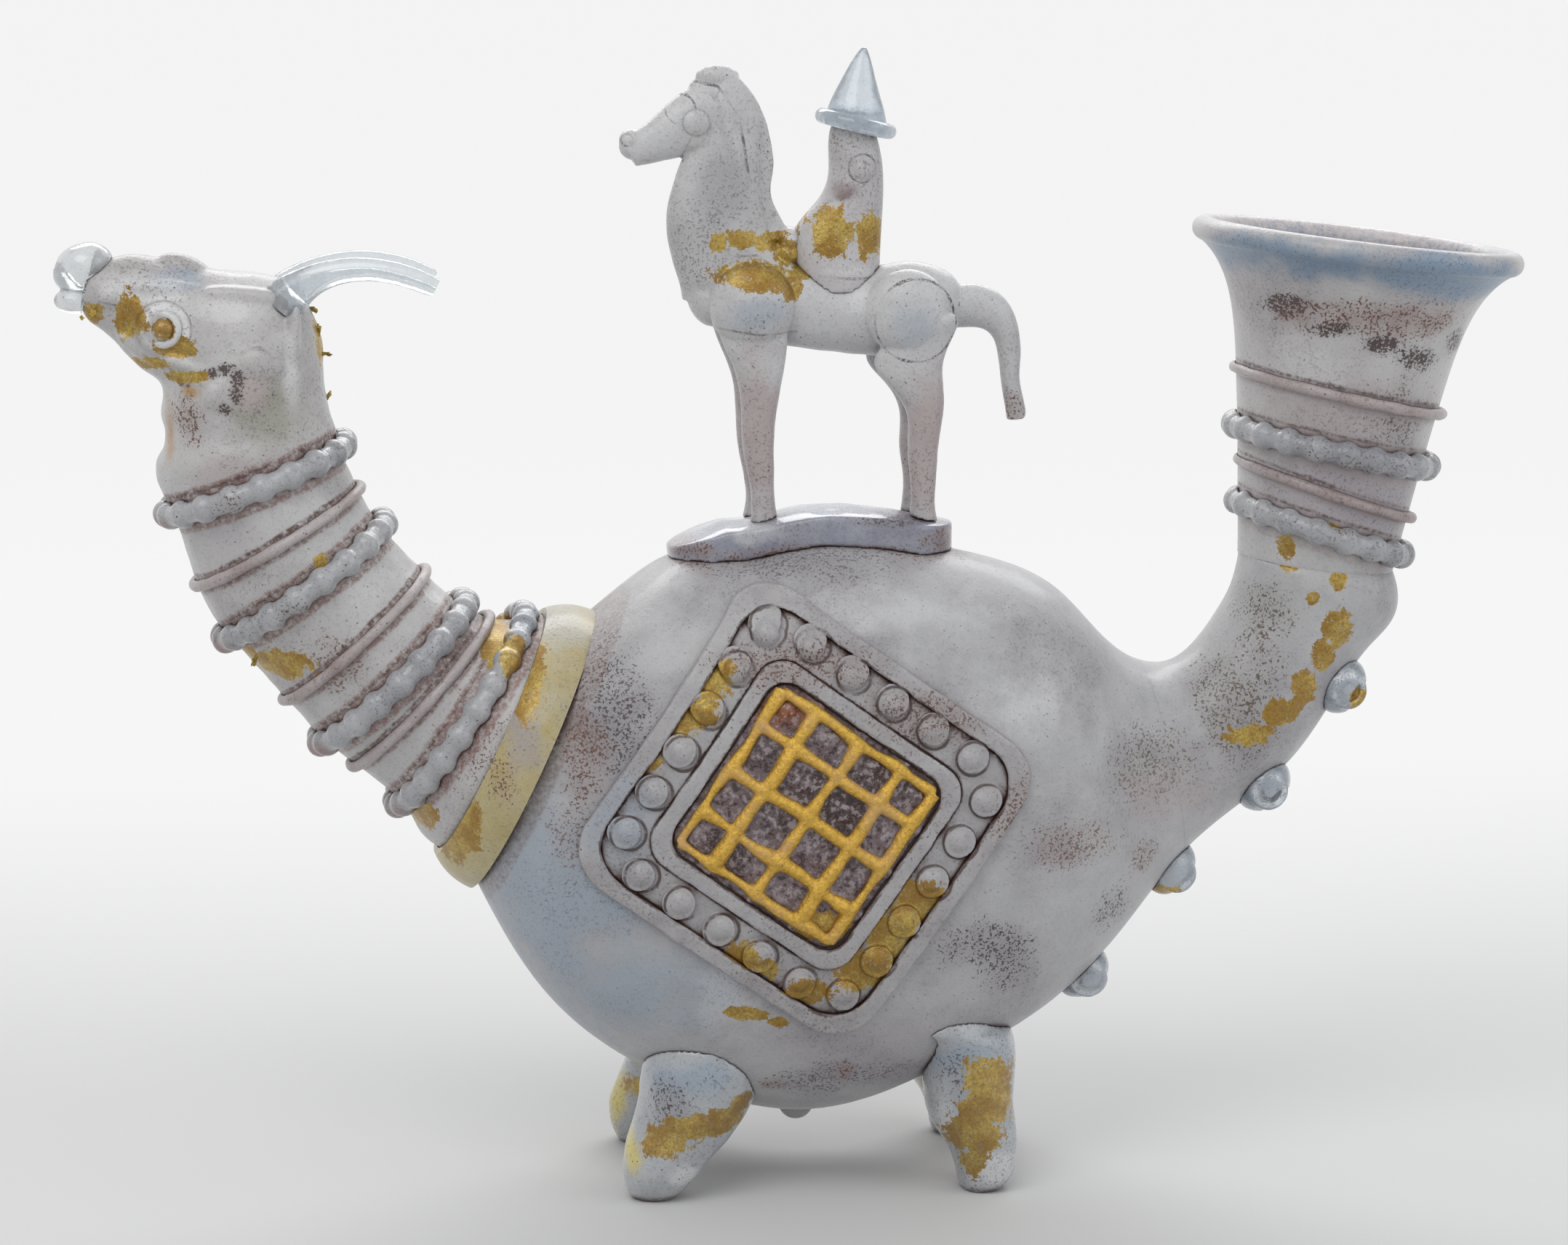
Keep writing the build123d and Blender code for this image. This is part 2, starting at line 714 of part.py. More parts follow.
def make_horse_eye(side, host):
    x, z = horse_place(HORSE_EYE_SHARES)
    point, normal = skin_point(host, (x, 0, z), (0, side, 0))
    return one(Pos(*point) * egg(
        horse_eye_radius, horse_eye_radius / 2, horse_eye_radius) - host)


# the rider
rider_x = left_end + rider_offset + horse_offset
rider_z = belly_clearance + horse_base + rider_seat_height


def rider_limb(shares, girth, depth):
    return limb(shares, rider_x, rider_z, rider_lean_reach, rider_height, girth, depth)


def rider_place(shares):
    return rider_x + shares[0] * rider_lean_reach, rider_z + shares[1] * rider_height


def make_arm(side, host):
    """A stub arm reaching from the shoulder knob towards the horse's neck."""
    x, z = rider_place(KNOB_SHARES)
    out = rider_seat_depth_radius * RIDER_SHARES[3][3]
    ovals = []
    for along, drop, tall, deep, lean in ARM_SHARES:
        seat = across(x - along * arm_reach, z + drop * arm_reach, lean, side * out)
        ovals.append(seat * Ellipse(deep * arm_radius, tall * arm_radius))
    knob = Pos(x, side * out, z) * Sphere(shoulder_knob_radius)
    return one(loft(ovals) + knob - host)


# assembling every piece in one frame
# the vessel's wall is three pieces that meet face to face: the front and the back of the flask, as
# from the two halves of a mould, and the tail that is drawn up from them
pieces = {}
vessel = hollow(body_outer, vessel_loft(-glass_wall))
tail_seam = across(tail_x, tail_z, BODY_SHARES[-1][4])
pieces["body_tail"] = one(split(vessel, bisect_by=tail_seam, keep=Keep.TOP))
flask = one(split(vessel, bisect_by=tail_seam, keep=Keep.BOTTOM))
pieces["body_front"] = one(split(flask, bisect_by=Plane.XZ, keep=Keep.TOP))
pieces["body_back"] = one(split(flask, bisect_by=Plane.XZ, keep=Keep.BOTTOM))
pieces["mouth_funnel"] = one(funnel_seat * revolve(funnel_profile(glass_wall), Axis.Z))
for name in FUNNEL_TRAIL_SHARES:
    pieces["funnel_" + name] = one(funnel_trail(name))

pieces["neck_tube"] = hollow(neck_outer, neck_loft(-glass_wall))
for name in NECK_SHARES:
    pieces["neck_" + name] = neck_trail(name)
pieces["neck_collar"] = make_collar()

bore = spout_bore()
upper_lip = Pos(upper_lip_x, 0, upper_lip_z) * Rot(Y=upper_lip_lean) * egg(
    upper_lip_length / 2, upper_lip_width / 2, upper_lip_height / 2)
lower_lip = Pos(lower_lip_x, 0, lower_lip_z) * egg(
    lower_lip_length / 2, lower_lip_width / 2, lower_lip_height / 2)
pieces["head_skull"] = one(skull_solid - bore)
pieces["head_upper_lip"] = one(upper_lip - skull_solid - bore)
pieces["head_lower_lip"] = one(lower_lip - skull_solid - upper_lip - bore)
for label, side in (("near", -1), ("far", 1)):
    pieces["head_eye_" + label] = make_eye(side)
    pieces["head_horn_" + label] = one(make_bull_horn(side) - skull_solid)
forelock_x, forelock_z = head_place(FORELOCK_SHARES)
forelock = Pos(forelock_x, 0, forelock_z) * Rot(Y=20) * egg(
    forelock_length / 2, forelock_width / 2, forelock_thickness)
pieces["head_forelock"] = one(forelock - skull_solid)

for name in PRUNT_SHARES:
    pieces[name] = make_prunt(name)
pieces["pontil_nub"] = make_nub()
for label, side in (("near", -1), ("far", 1)):
    pieces["foot_front_" + label] = make_leg(
        FRONT_LEG_SHARES, front_foot_offset, front_foot_kick, front_leg_height,
        front_leg_radius, side)
    pieces["foot_rear_" + label] = make_leg(
        REAR_LEG_SHARES, rear_foot_offset, -rear_foot_kick, rear_leg_height,
        rear_leg_radius, side)

pieces["panel_frame"] = make_panel_frame()
pieces["panel_bead_lane"] = make_bead_lane()
pieces["panel_inner_frame"] = make_inner_frame()
pieces["panel_inlay"] = make_inlay()

plinth = make_plinth()
barrel = horse_limb(BARREL_SHARES, barrel_radius, barrel_depth_radius)
horse_neck = horse_limb(HORSE_NECK_SHARES, horse_neck_radius, horse_neck_depth_radius)
horse_head = horse_limb(HORSE_HEAD_SHARES, horse_head_radius, horse_head_depth_radius)
horse_tail = horse_limb(HORSE_TAIL_SHARES, horse_tail_radius, horse_tail_depth_radius)
pieces["plinth"] = plinth
pieces["horse_barrel"] = barrel
pieces["horse_neck"] = one(horse_neck - barrel)
pieces["horse_head"] = one(horse_head - horse_neck)
pieces["horse_mane"] = one(make_mane() - horse_neck - barrel - horse_head)
pieces["horse_tail"] = one(horse_tail - barrel)
for label, side in (("near", -1), ("far", 1)):
    hosts = [barrel, horse_neck, plinth, body_outer]
    pieces["horse_foreleg_" + label] = make_leg_with_disc(FORE_LEG_SHARES, side, hosts)
    pieces["horse_hindleg_" + label] = make_leg_with_disc(HIND_LEG_SHARES, side, hosts)
    pieces["horse_eye_" + label] = make_horse_eye(side, horse_head)

brim_x, brim_z = rider_place(BRIM_SHARES)
brim = across(brim_x, brim_z, BRIM_LEAN) * Torus(brim_radius, brim_thickness)
torso = rider_limb(RIDER_SHARES, rider_seat_radius, rider_seat_depth_radius)
for part_name in ("horse_barrel", "horse_neck", "horse_mane", "horse_foreleg_near",
                  "horse_foreleg_far", "horse_hindleg_near", "horse_hindleg_far"):
    torso -= pieces[part_name]
torso = one(torso)
hat = rider_limb(HAT_SHARES, hat_radius, hat_depth_radius)
pieces["rider_torso"] = torso
pieces["rider_hat"] = one(hat - torso)
pieces["rider_brim"] = one(brim - torso - hat)
for label, side in (("near", -1), ("far", 1)):
    pieces["rider_arm_" + label] = one(
        make_arm(side, torso) - pieces["horse_neck"] - pieces["horse_mane"])

# the origin goes to the middle of the footprint, on the table
boxes = [piece.bounding_box() for piece in pieces.values()]
low = Vector(*[min(tuple(box.min)[axis] for box in boxes) for axis in range(3)])
high = Vector(*[max(tuple(box.max)[axis] for box in boxes) for axis in range(3)])
middle = Vector((low.X + high.X) / 2, (low.Y + high.Y) / 2, low.Z)

os.makedirs("parts", exist_ok=True)
for name, piece in pieces.items():
    export_step(piece.moved(Location(-middle)), f"parts/{name}.step")
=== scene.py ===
# %% [markdown]
# # A glass rhyton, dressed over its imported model
# A rhyton is a drinking horn with an animal's head: wine goes in at the flared mouth and runs out
# through a small hole between the animal's lips. This one is hot-worked glass, so every part of it
# was soft once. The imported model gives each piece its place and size. This lesson copies some
# pieces, lets them run together as melted glass does, and then paints frosted glass, clear glass,
# gold leaf and pigment with nodes.

# %% Load the fixed frame
from math import atan2, cos, pi, radians, sin

import bpy
from mathutils import Matrix, Vector, noise


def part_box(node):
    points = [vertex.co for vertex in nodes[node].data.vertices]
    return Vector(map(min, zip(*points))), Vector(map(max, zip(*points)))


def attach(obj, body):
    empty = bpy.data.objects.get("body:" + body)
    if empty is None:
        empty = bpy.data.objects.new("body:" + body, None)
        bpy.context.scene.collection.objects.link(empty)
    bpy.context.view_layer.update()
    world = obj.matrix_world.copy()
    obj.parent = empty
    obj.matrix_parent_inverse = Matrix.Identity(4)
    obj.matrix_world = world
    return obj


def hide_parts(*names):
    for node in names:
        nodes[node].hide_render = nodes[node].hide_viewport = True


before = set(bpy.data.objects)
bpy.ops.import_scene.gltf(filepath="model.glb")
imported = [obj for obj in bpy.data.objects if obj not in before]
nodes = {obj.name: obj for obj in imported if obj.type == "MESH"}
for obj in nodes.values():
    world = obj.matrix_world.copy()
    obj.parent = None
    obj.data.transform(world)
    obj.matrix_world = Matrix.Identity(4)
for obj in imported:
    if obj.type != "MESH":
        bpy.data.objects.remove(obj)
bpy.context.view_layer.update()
print("pieces in the frame:", len(nodes))

# %% [markdown]
# The drawing of this vessel was measured in millimetres from the middle of its belly, on the table.
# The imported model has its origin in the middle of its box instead. The mark under the belly and the
# two front feet give the step between both, so every place below can be written as measured.

# %% Measure places from the belly
mm = 0.001
nub_from_belly = 3.24 * mm


def middle(node):
    low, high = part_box(node)
    return (Vector(low) + Vector(high)) / 2


belly = Vector((
    middle("pontil_nub").x - nub_from_belly,
    (middle("foot_front_near").y + middle("foot_front_far").y) / 2,
    0))


def spot(x, y, z):
    """A place measured in millimetres from the belly, in the frame."""
    return belly + Vector((x, y, z)) * mm


panel_turn = radians(-35.0)
panel_middle = middle("panel_frame")
panel_right = Vector((cos(panel_turn), 0, sin(panel_turn)))
panel_up = Vector((-sin(panel_turn), 0, cos(panel_turn)))
panel_centre = (panel_middle - belly) / mm
print("belly is at", belly, "and the panel's middle at", panel_centre)

# %% [markdown]
# The photograph was taken from a little above, slightly to the left, with a long lens. Settling the
# camera first means that each later look compares like with like.

# %% Camera
camera_turn = radians(-6.0)
camera_rise = radians(9.6)
camera_distance = 1166 * mm
camera_sight = spot(0, 0, 154)
photo_width_at_sight = 431.2 * mm

camera_data = bpy.data.cameras.new("camera")
camera_data.sensor_width = 36
camera_data.lens = 36 * camera_distance / photo_width_at_sight
camera = bpy.data.objects.new("camera", camera_data)
bpy.context.scene.collection.objects.link(camera)
away = Vector((
    sin(camera_turn) * cos(camera_rise), -cos(camera_turn) * cos(camera_rise), sin(camera_rise)))
camera.location = camera_sight + away * camera_distance
camera.rotation_euler = away.to_track_quat("Z", "Y").to_euler()
bpy.context.scene.camera = camera

# %% [markdown]
# Glass is mostly what it mirrors, so the room matters as much as the piece: a white sweep under and
# behind it, one broad light from the upper left, a weaker one from the right, and a strip from
# behind that lights the clear rods from within.

# %% Room and lights
def sweep(name, width, depth, rise):
    """A floor that curves up into a back wall, in one sheet."""
    bpy.ops.object.select_all(action="DESELECT")
    bpy.ops.mesh.primitive_plane_add(size=1, location=(0, 0, 0))
    sheet = bpy.context.object
    sheet.name = name
    sheet.scale = (width, depth, 1)
    bpy.ops.object.transform_apply(location=True, rotation=True, scale=True)
    bpy.ops.object.mode_set(mode="EDIT")
    bpy.ops.mesh.select_mode(type="EDGE")
    bpy.ops.mesh.select_all(action="DESELECT")
    bpy.ops.object.mode_set(mode="OBJECT")
    for edge in sheet.data.edges:
        edge.select = all(sheet.data.vertices[i].co.y > 0 for i in edge.vertices)
    bpy.ops.object.mode_set(mode="EDIT")
    bpy.ops.mesh.extrude_region_move(TRANSFORM_OT_translate={"value": (0, 0, rise)})
    bpy.ops.object.mode_set(mode="OBJECT")
    bend = sheet.modifiers.new("bend", "BEVEL")
    bend.width = rise * 0.45
    bend.segments = 12
    bpy.ops.object.modifier_apply(modifier="bend")
    bpy.ops.object.shade_smooth()
    return sheet


backdrop = sweep("backdrop", 5.0, 4.4, 2.6)


def soft_light(name, place, aim, width, height, power, tint):
    """A large rectangular lamp that looks at a point."""
    data = bpy.data.lights.new(name, "AREA")
    data.shape = "RECTANGLE"
    data.size = width
    data.size_y = height
    data.energy = power
    data.color = tint
    lamp = bpy.data.objects.new(name, data)
    lamp.location = place
    lamp.rotation_euler = (place - aim).to_track_quat("Z", "Y").to_euler()
    bpy.context.scene.collection.objects.link(lamp)
    return lamp


aim = spot(0, 0, 140)
soft_light("key", spot(-500, -800, 1250), aim, 1.0, 0.8, 7, (1, 0.99, 0.97))
soft_light("fill", spot(1100, -600, 700), aim, 0.9, 0.9, 3, (0.96, 0.98, 1))
soft_light("back_strip", spot(100, 800, 900), aim, 1.4, 0.4, 7, (1, 1, 1))

world = bpy.data.worlds.new("room")
bpy.context.scene.world = world
world.use_nodes = True
world.node_tree.nodes["Background"].inputs["Color"].default_value = (0.93, 0.94, 0.95, 1)
world.node_tree.nodes["Background"].inputs["Strength"].default_value = 0.62
bpy.context.scene.view_settings.view_transform = "Standard"

# %% [markdown]
# Masks and stains are sums and products of patterns, which is hard to read as a web of nodes. One
# small class wraps a socket and lets Python's own signs add the Math nodes. A second class owns one
# material and hands out every other node from one method.

# %% Shader maths as Python
def is_vector(value):
    return isinstance(value, (tuple, Vector)) and len(value) == 3


class Wire:
    """One output socket of a finish, with arithmetic."""

    def __init__(self, finish, socket):
        self.finish = finish
        self.socket = socket

    def math(self, operation, first, second):
        return self.finish.node("ShaderNodeMath", {"operation": operation}, {0: first, 1: second})

    def __add__(self, other):
        return self.math("ADD", self, other)

    def __radd__(self, other):
        return self.math("ADD", other, self)

    def __sub__(self, other):
        return self.math("SUBTRACT", self, other)

    def __rsub__(self, other):
        return self.math("SUBTRACT", other, self)

    def __mul__(self, other):
        return self.math("MULTIPLY", self, other)

    def __rmul__(self, other):
        return self.math("MULTIPLY", other, self)

    def __truediv__(self, other):
        return self.math("DIVIDE", self, other)

    def __rtruediv__(self, other):
        return self.math("DIVIDE", other, self)

    def __neg__(self):
        return self.math("MULTIPLY", self, -1.0)

    def __abs__(self):
        return self.math("ABSOLUTE", self, 0.0)

    def __or__(self, other):
        """The greater of two masks."""
        return self.math("MAXIMUM", self, other)

    def __and__(self, other):
        """The lesser of two masks."""
        return self.math("MINIMUM", self, other)

    def root(self):
        return self.math("SQRT", self, 0.0)

    def rise(self, low, high):
        """0 below low, 1 above high, smooth between."""
        return self.finish.node(
            "ShaderNodeMapRange", {"interpolation_type": "SMOOTHSTEP"},
            {"Value": self, "From Min": low, "From Max": high, "To Min": 0.0, "To Max": 1.0})


class Finish:
    """One material; every place in it is in millimetres from the belly."""

    def __init__(self, name):
        self.material = bpy.data.materials.new(name)
        self.material.use_nodes = True
        self.tree = self.material.node_tree
        self.shader = self.tree.nodes["Principled BSDF"]
        coordinates = self.node("ShaderNodeTexCoord", {}, {}, "Object")
        shifted = self.vector("SUBTRACT", coordinates, tuple(belly))
        self.place = self.vector("SCALE", shifted, Scale=1 / mm)

    def node(self, kind, settings, values, output=0):
        item = self.tree.nodes.new(kind)
        for key, value in settings.items():
            if key == "stops":
                self.set_stops(item.color_ramp, value)
            else:
                setattr(item, key, value)
        for key, value in values.items():
            self.plug(item.inputs[key], value)
        return Wire(self, item.outputs[output])

    def plug(self, socket, value):
        if isinstance(value, Wire):
            self.tree.links.new(value.socket, socket)
        elif is_vector(value) and socket.type == "RGBA":
            socket.default_value = (*value, 1)
        else:
            socket.default_value = value

    def set_stops(self, ramp, stops):
        while len(ramp.elements) < len(stops):
            ramp.elements.new(1)
        for element, (position, colour) in zip(ramp.elements, stops):
            element.position = position
            element.color = (*colour, 1)

    def vector(self, operation, first, second=None, **values):
        slots = {0: first}
        if second is not None:
            slots[1] = second
        slots.update(values)
        output = "Value" if operation in ("LENGTH", "DOT_PRODUCT", "DISTANCE") else "Vector"
        return self.node("ShaderNodeVectorMath", {"operation": operation}, slots, output)

    def mix(self, mask, first, second):
        """First colour where the mask is 0, second where it is 1."""
        item = self.tree.nodes.new("ShaderNodeMix")
        item.data_type = "RGBA"
        self.plug(item.inputs["Factor"], mask)
        self.plug(item.inputs[6], first)
        self.plug(item.inputs[7], second)
        return Wire(self, item.outputs[2])

    def noise(self, size, detail=3.0, roughness=0.55, stretch=None):
        """Cloudy pattern, 0 to 1, whose blobs are about the given size in millimetres."""
        where = self.place
        if stretch is not None:
            where = self.vector("MULTIPLY", where, stretch)
        return self.node("ShaderNodeTexNoise", {}, {
            "Vector": where, "Scale": 1 / size, "Detail": detail, "Roughness": roughness})

    def grains(self, size, feature="F1"):
        """Distance to the nearest of many scattered grains."""
        return self.node("ShaderNodeTexVoronoi", {"feature": feature}, {
            "Vector": self.place, "Scale": 1 / size}, "Distance")

    def patch(self, x, z, wide, tall):
        """1 at a place on either side of the vessel, 0 at the edge of an oval, less outside."""
        step = self.vector("SUBTRACT", self.place, (x, 0.0, z))
        step = self.vector("MULTIPLY", step, (1 / wide, 0.0, 1 / tall))
        return 1.0 - self.vector("LENGTH", step)

    def ring(self, x, z, radius):
        """Millimetres from a circle, seen from the front."""
        step = self.vector("SUBTRACT", self.place, (x, 0.0, z))
        step = self.vector("MULTIPLY", step, (1.0, 0.0, 1.0))
        return abs(self.vector("LENGTH", step) - radius)

    def line(self, places):
        """Millimetres from a drawn line, seen from the front."""
        flat = self.vector("MULTIPLY", self.place, (1.0, 0.0, 1.0))
        gaps = []
        for (x1, z1), (x2, z2) in zip(places, places[1:]):
            run = Vector((x2 - x1, 0, z2 - z1))
            step = self.vector("SUBTRACT", flat, (x1, 0.0, z1))
            share = self.vector("DOT_PRODUCT", step, tuple(run / run.length_squared))
            reach = self.vector("SCALE", tuple(run), Scale=(share & 1.0) | 0.0)
            gaps.append(self.vector("DISTANCE", step, reach))
        nearest = gaps[0]
        for gap in gaps[1:]:
            nearest = nearest & gap
        return nearest

    def nearest(self, places):
        """Millimetres to the nearest of some places."""
        gap = self.vector("DISTANCE", self.place, tuple(places[0]))
        for place in places[1:]:
            gap = gap & self.vector("DISTANCE", self.place, tuple(place))
        return gap

    def along(self, centre, direction):
        """Millimetres from a plane through the centre, along a direction."""
        step = self.vector("SUBTRACT", self.place, tuple(centre))
        return self.vector("DOT_PRODUCT", step, tuple(direction))

    def square(self, half, corner):
        """Millimetres outside a rounded square about the panel's middle."""
        step = self.vector("SUBTRACT", self.place, tuple(panel_centre))
        flat = half - corner
        over = abs(self.vector("DOT_PRODUCT", step, tuple(panel_right))) - flat | 0.0
        up = abs(self.vector("DOT_PRODUCT", step, tuple(panel_up))) - flat | 0.0
        return (over * over + up * up).root() - corner

    def creases(self, reach):
        """1 deep in the seams between pieces, 0 on open skin."""
        return 1.0 - self.node(
            "ShaderNodeAmbientOcclusion", {"samples": 6}, {"Distance": reach * mm}, "AO")

    def bump(self, height, distance, strength=1.0):
        return self.node("ShaderNodeBump", {}, {
            "Height": height, "Distance": distance * mm, "Strength": strength}, "Normal")

    def set(self, **sockets):
        """Values or wires for the main shader's sockets, with spaces written as underscores."""
        for name, value in sockets.items():
            self.plug(self.shader.inputs[name.replace("_", " ")], value)
        return self


def joined(masks):
    total = masks[0]
    for mask in masks[1:]:
        total = total | mask
    return total


# %% [markdown]
# Frosted glass was dipped in acid, so light spreads in its skin and it looks like wet sugar: pale
# grey with a lilac or blue cast, peppered with fine dark grains, and cloudier where it is thick.
# One function mixes that skin. It takes stains, which are soft ovals of colour, some of them pale ovals
# that paint highlights, and gold, which has hard ragged edges because leaf tears. It also darkens the
# creases, with grime and with painted shade.

# %% Frosted glass
gold_light = (0.56, 0.40, 0.095)
gold_dark = (0.22, 0.135, 0.03)
soot = (0.045, 0.02, 0.016)
rust = (0.17, 0.065, 0.032)
plum = (0.055, 0.032, 0.038)
orange = (0.42, 0.22, 0.05)
umber = (0.12, 0.085, 0.05)
sea = (0.22, 0.30, 0.40)
pink = (0.43, 0.37, 0.37)
brick = (0.25, 0.145, 0.125)
# Pale grey-white: some ovals of it are frosty patches, others are painted highlights and sheen.
haze_and_sheen = (0.68, 0.68, 0.69)


def frosted(name, pale, deep, stains=(), gold=(), seams=(), specks=0.5, skin=0.25,
            dirt_and_shade=0.8, gloss=0.25, crease=3.0, lines=(), bloom=1.0, occluded_from=0.26,
            drawn=(), fence=None, beads=(), chips=0.0):
    """Acid-etched glass with pigment stains, painted highlights, gold leaf, and grime and painted shade
    in its seams and creases.
    """
    finish = Finish(name)
    cloud = finish.noise(34.0, 4.0, 0.6)
    smear = finish.noise(9.0, 5.0, 0.65)
    fine = finish.noise(1.5, 5.0, 0.72)
    worm = finish.noise(0.75, 3.0, 0.65)
    grain = worm * 0.6 + fine * 0.4
    colour = finish.mix(cloud.rise(0.35, 0.68), pale, deep)
    colour = finish.mix(((smear - 0.5) * 0.7 + 0.12) * bloom, colour, (0.68, 0.68, 0.69))
    grimy = cloud.rise(0.42, 0.66) * 0.45 + 0.22
    for x, z, wide, tall, tint, strength in stains:
        ragged = (smear - 0.5) * 1.2 + (cloud - 0.5) * 1.6
        edge = (finish.patch(x, z, wide, tall) + ragged).rise(0.0, 0.8)
        if tint in (rust, plum, soot, umber):
            density = 0.17 if tint == soot else 0.10
            sprayed = (edge * density + grain - 0.61).rise(0.0, 0.05) * edge.rise(0.0, 0.35)
            colour = finish.mix(edge * strength * 0.35, colour, tint)
            colour = finish.mix(sprayed * strength * 1.5 & 0.92, colour, tint)
            grimy = grimy | edge * 0.9
        else:
            colour = finish.mix(edge * strength, colour, tint)
    etched = grain.rise(0.53, 0.60) * grimy
    colour = finish.mix(etched * specks, colour, (0.085, 0.07, 0.072))
    pepper = (0.17 - finish.grains(2.0)).rise(0.0, 0.08) * smear.rise(0.40, 0.62)
    colour = finish.mix(pepper * specks, colour, (0.06, 0.05, 0.05))
    # Bands about planes; those along the trails are pigment and painted shade together.
    for centre, direction, half, tint, strength in seams:
        near = half - abs(finish.along(centre, direction)) + (smear - 0.5) * 2.2
        colour = finish.mix(near.rise(0.0, 0.9) * strength * fine.rise(0.30, 0.62), colour, tint)
    if chips:
        bits = finish.noise(1.7, 2.0, 0.6)
        colour = finish.mix(bits.rise(0.52, 0.60) * chips, colour, (0.33, 0.29, 0.31))
        colour = finish.mix((1.0 - bits.rise(0.37, 0.44)) * chips, colour, (0.02, 0.012, 0.014))
    for half, corner in lines:
        trace = (0.6 - abs(finish.square(half, corner)) + (fine - 0.5) * 1.2).rise(0.0, 0.45)
        colour = finish.mix(trace * smear.rise(0.40, 0.60) * 0.85, colour, soot)
    # Painted shadow: a thin soot-dark ring about each given place; the panel gives its bead middles,
    # shifted down and to the right.
    if beads:
        rim = abs(finish.nearest(beads) - 5.0) + (fine - 0.5) * 0.8
        trace = (0.6 - rim).rise(0.0, 0.4) * smear.rise(0.36, 0.52)
        colour = finish.mix(trace * 0.85, colour, soot)
    for shape, half, tint, strength in drawn:
        gap = finish.ring(*shape) if isinstance(shape, tuple) else finish.line(shape)
        frayed = (fine - 0.5) * (half + 0.5) + (smear - 0.5) * half * 2.4
        trace = (half - gap + frayed).rise(0.0, half * 0.6) * (1.0 - grain.rise(0.50, 0.58))
        trace = trace * smear.rise(0.36, 0.60)
        colour = finish.mix(trace * strength, colour, tint)
    # Painted shade and grime: the colour turns a dark red-brown where ambient occlusion finds a crease
    # or a seam between pieces.
    caught = finish.creases(crease).rise(occluded_from, occluded_from + 0.4) * fine.rise(0.25, 0.50)
    colour = finish.mix(caught * dirt_and_shade, colour, (0.085, 0.038, 0.028))
    rough = 0.42 + (smear - 0.5) * 0.25 - gloss * 0.2
    if gold:
        leaf = joined([finish.patch(*place) for place in gold])
        if fence:
            outer, inner = fence
            leaf = leaf & finish.square(*outer) * -0.4 & finish.square(*inner) * 0.4
        torn = leaf + (smear - 0.5) * 1.9 + (fine - 0.5) * 1.5
        sheet = torn.rise(0.08, 0.14) * (1.0 - grain.rise(0.60, 0.64) * 0.9)
        glint = finish.mix(finish.noise(0.8, 6.0, 0.8).rise(0.30, 0.62), gold_dark, gold_light)
        glint = finish.mix(smear.rise(0.42, 0.60) * 0.65, glint, (0.26, 0.125, 0.015))
        colour = finish.mix(sheet, colour, glint)
        finish.set(Metallic=sheet * 0.6)
        rough = rough * (1.0 - sheet) + sheet * 0.4
    height = smear * 0.5 + fine * 0.3 + worm * 0.2
    finish.set(Base_Color=colour, Roughness=rough, Normal=finish.bump(height, 0.6))
    finish.set(Subsurface_Weight=skin, Subsurface_Radius=(1.0, 0.9, 0.85), Subsurface_Scale=4 * mm)
    finish.set(IOR=1.47, Coat_Weight=gloss, Coat_Roughness=0.2 - gloss * 0.1)
    return finish.material


# %% [markdown]
# Clear glass was only fire-polished. It lets the ground behind it through, bends it, and turns dark
# at its edges. The dabs of clear glass here caught soot and pigment while hot, so black specks
# swim in them.

# %% Clear glass
def clear(name, tint, soot=0.6, veil=0.35, gold=()):
    """Fire-polished glass with soot specks and a thin grey veil."""
    finish = Finish(name)
    smear = finish.noise(4.0, 4.0, 0.6)
    fine = finish.noise(0.9, 3.0, 0.7)
    colour = finish.mix(smear.rise(0.35, 0.7) * veil, tint, (0.62, 0.66, 0.72))
    specks = fine.rise(0.60, 0.68) * smear.rise(0.45, 0.60)
    colour = finish.mix(specks * soot, colour, (0.05, 0.045, 0.05))
    rough = 0.07 + specks * 0.3
    if gold:
        leaf = joined([finish.patch(*place) for place in gold])
        sheet = (leaf + (smear - 0.5) * 1.2 + (fine - 0.5) * 0.9).rise(0.06, 0.18)
        glint = finish.mix(finish.noise(2.0, 4.0, 0.7).rise(0.35, 0.62), gold_dark, gold_light)
        colour = finish.mix(sheet, colour, glint)
        finish.set(Metallic=sheet * 0.9)
        rough = rough * (1.0 - sheet) + sheet * 0.3
    finish.set(Base_Color=colour, Roughness=rough, Normal=finish.bump(smear, 0.25))
    finish.set(IOR=1.47, Transmission_Weight=0.72)
    return finish.material


# %% [markdown]
# ## Pieces that ran together
# A glassblower lays hot bits on hot glass, so a lip has no seam to its skull and a thread settles
# into what it lies on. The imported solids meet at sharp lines. A voxel remesh of joined copies takes
# one skin off the whole group, and a few rounds of smoothing then let it slump like the real one.

# %% Copy some pieces of the frame into one new piece
def joined_copy(name, node_names, dabs=()):
    bpy.ops.object.select_all(action="DESELECT")
    copies = []
    for node_name in node_names:
        copy = bpy.data.objects.new(name, nodes[node_name].data.copy())
        copy.data.materials.clear()
        bpy.context.scene.collection.objects.link(copy)
        copy.select_set(True)
        copies.append(copy)
    for dab in dabs:
        dab.select_set(True)
    bpy.context.view_layer.objects.active = copies[0]
    if len(copies) + len(dabs) > 1:
        bpy.ops.object.join()
    piece = bpy.context.object
    piece.name = name
    bpy.ops.object.mode_set(mode="EDIT")
    bpy.ops.mesh.select_all(action="SELECT")
    bpy.ops.mesh.remove_doubles(threshold=0.01 * mm)
    bpy.ops.object.mode_set(mode="OBJECT")
    return piece


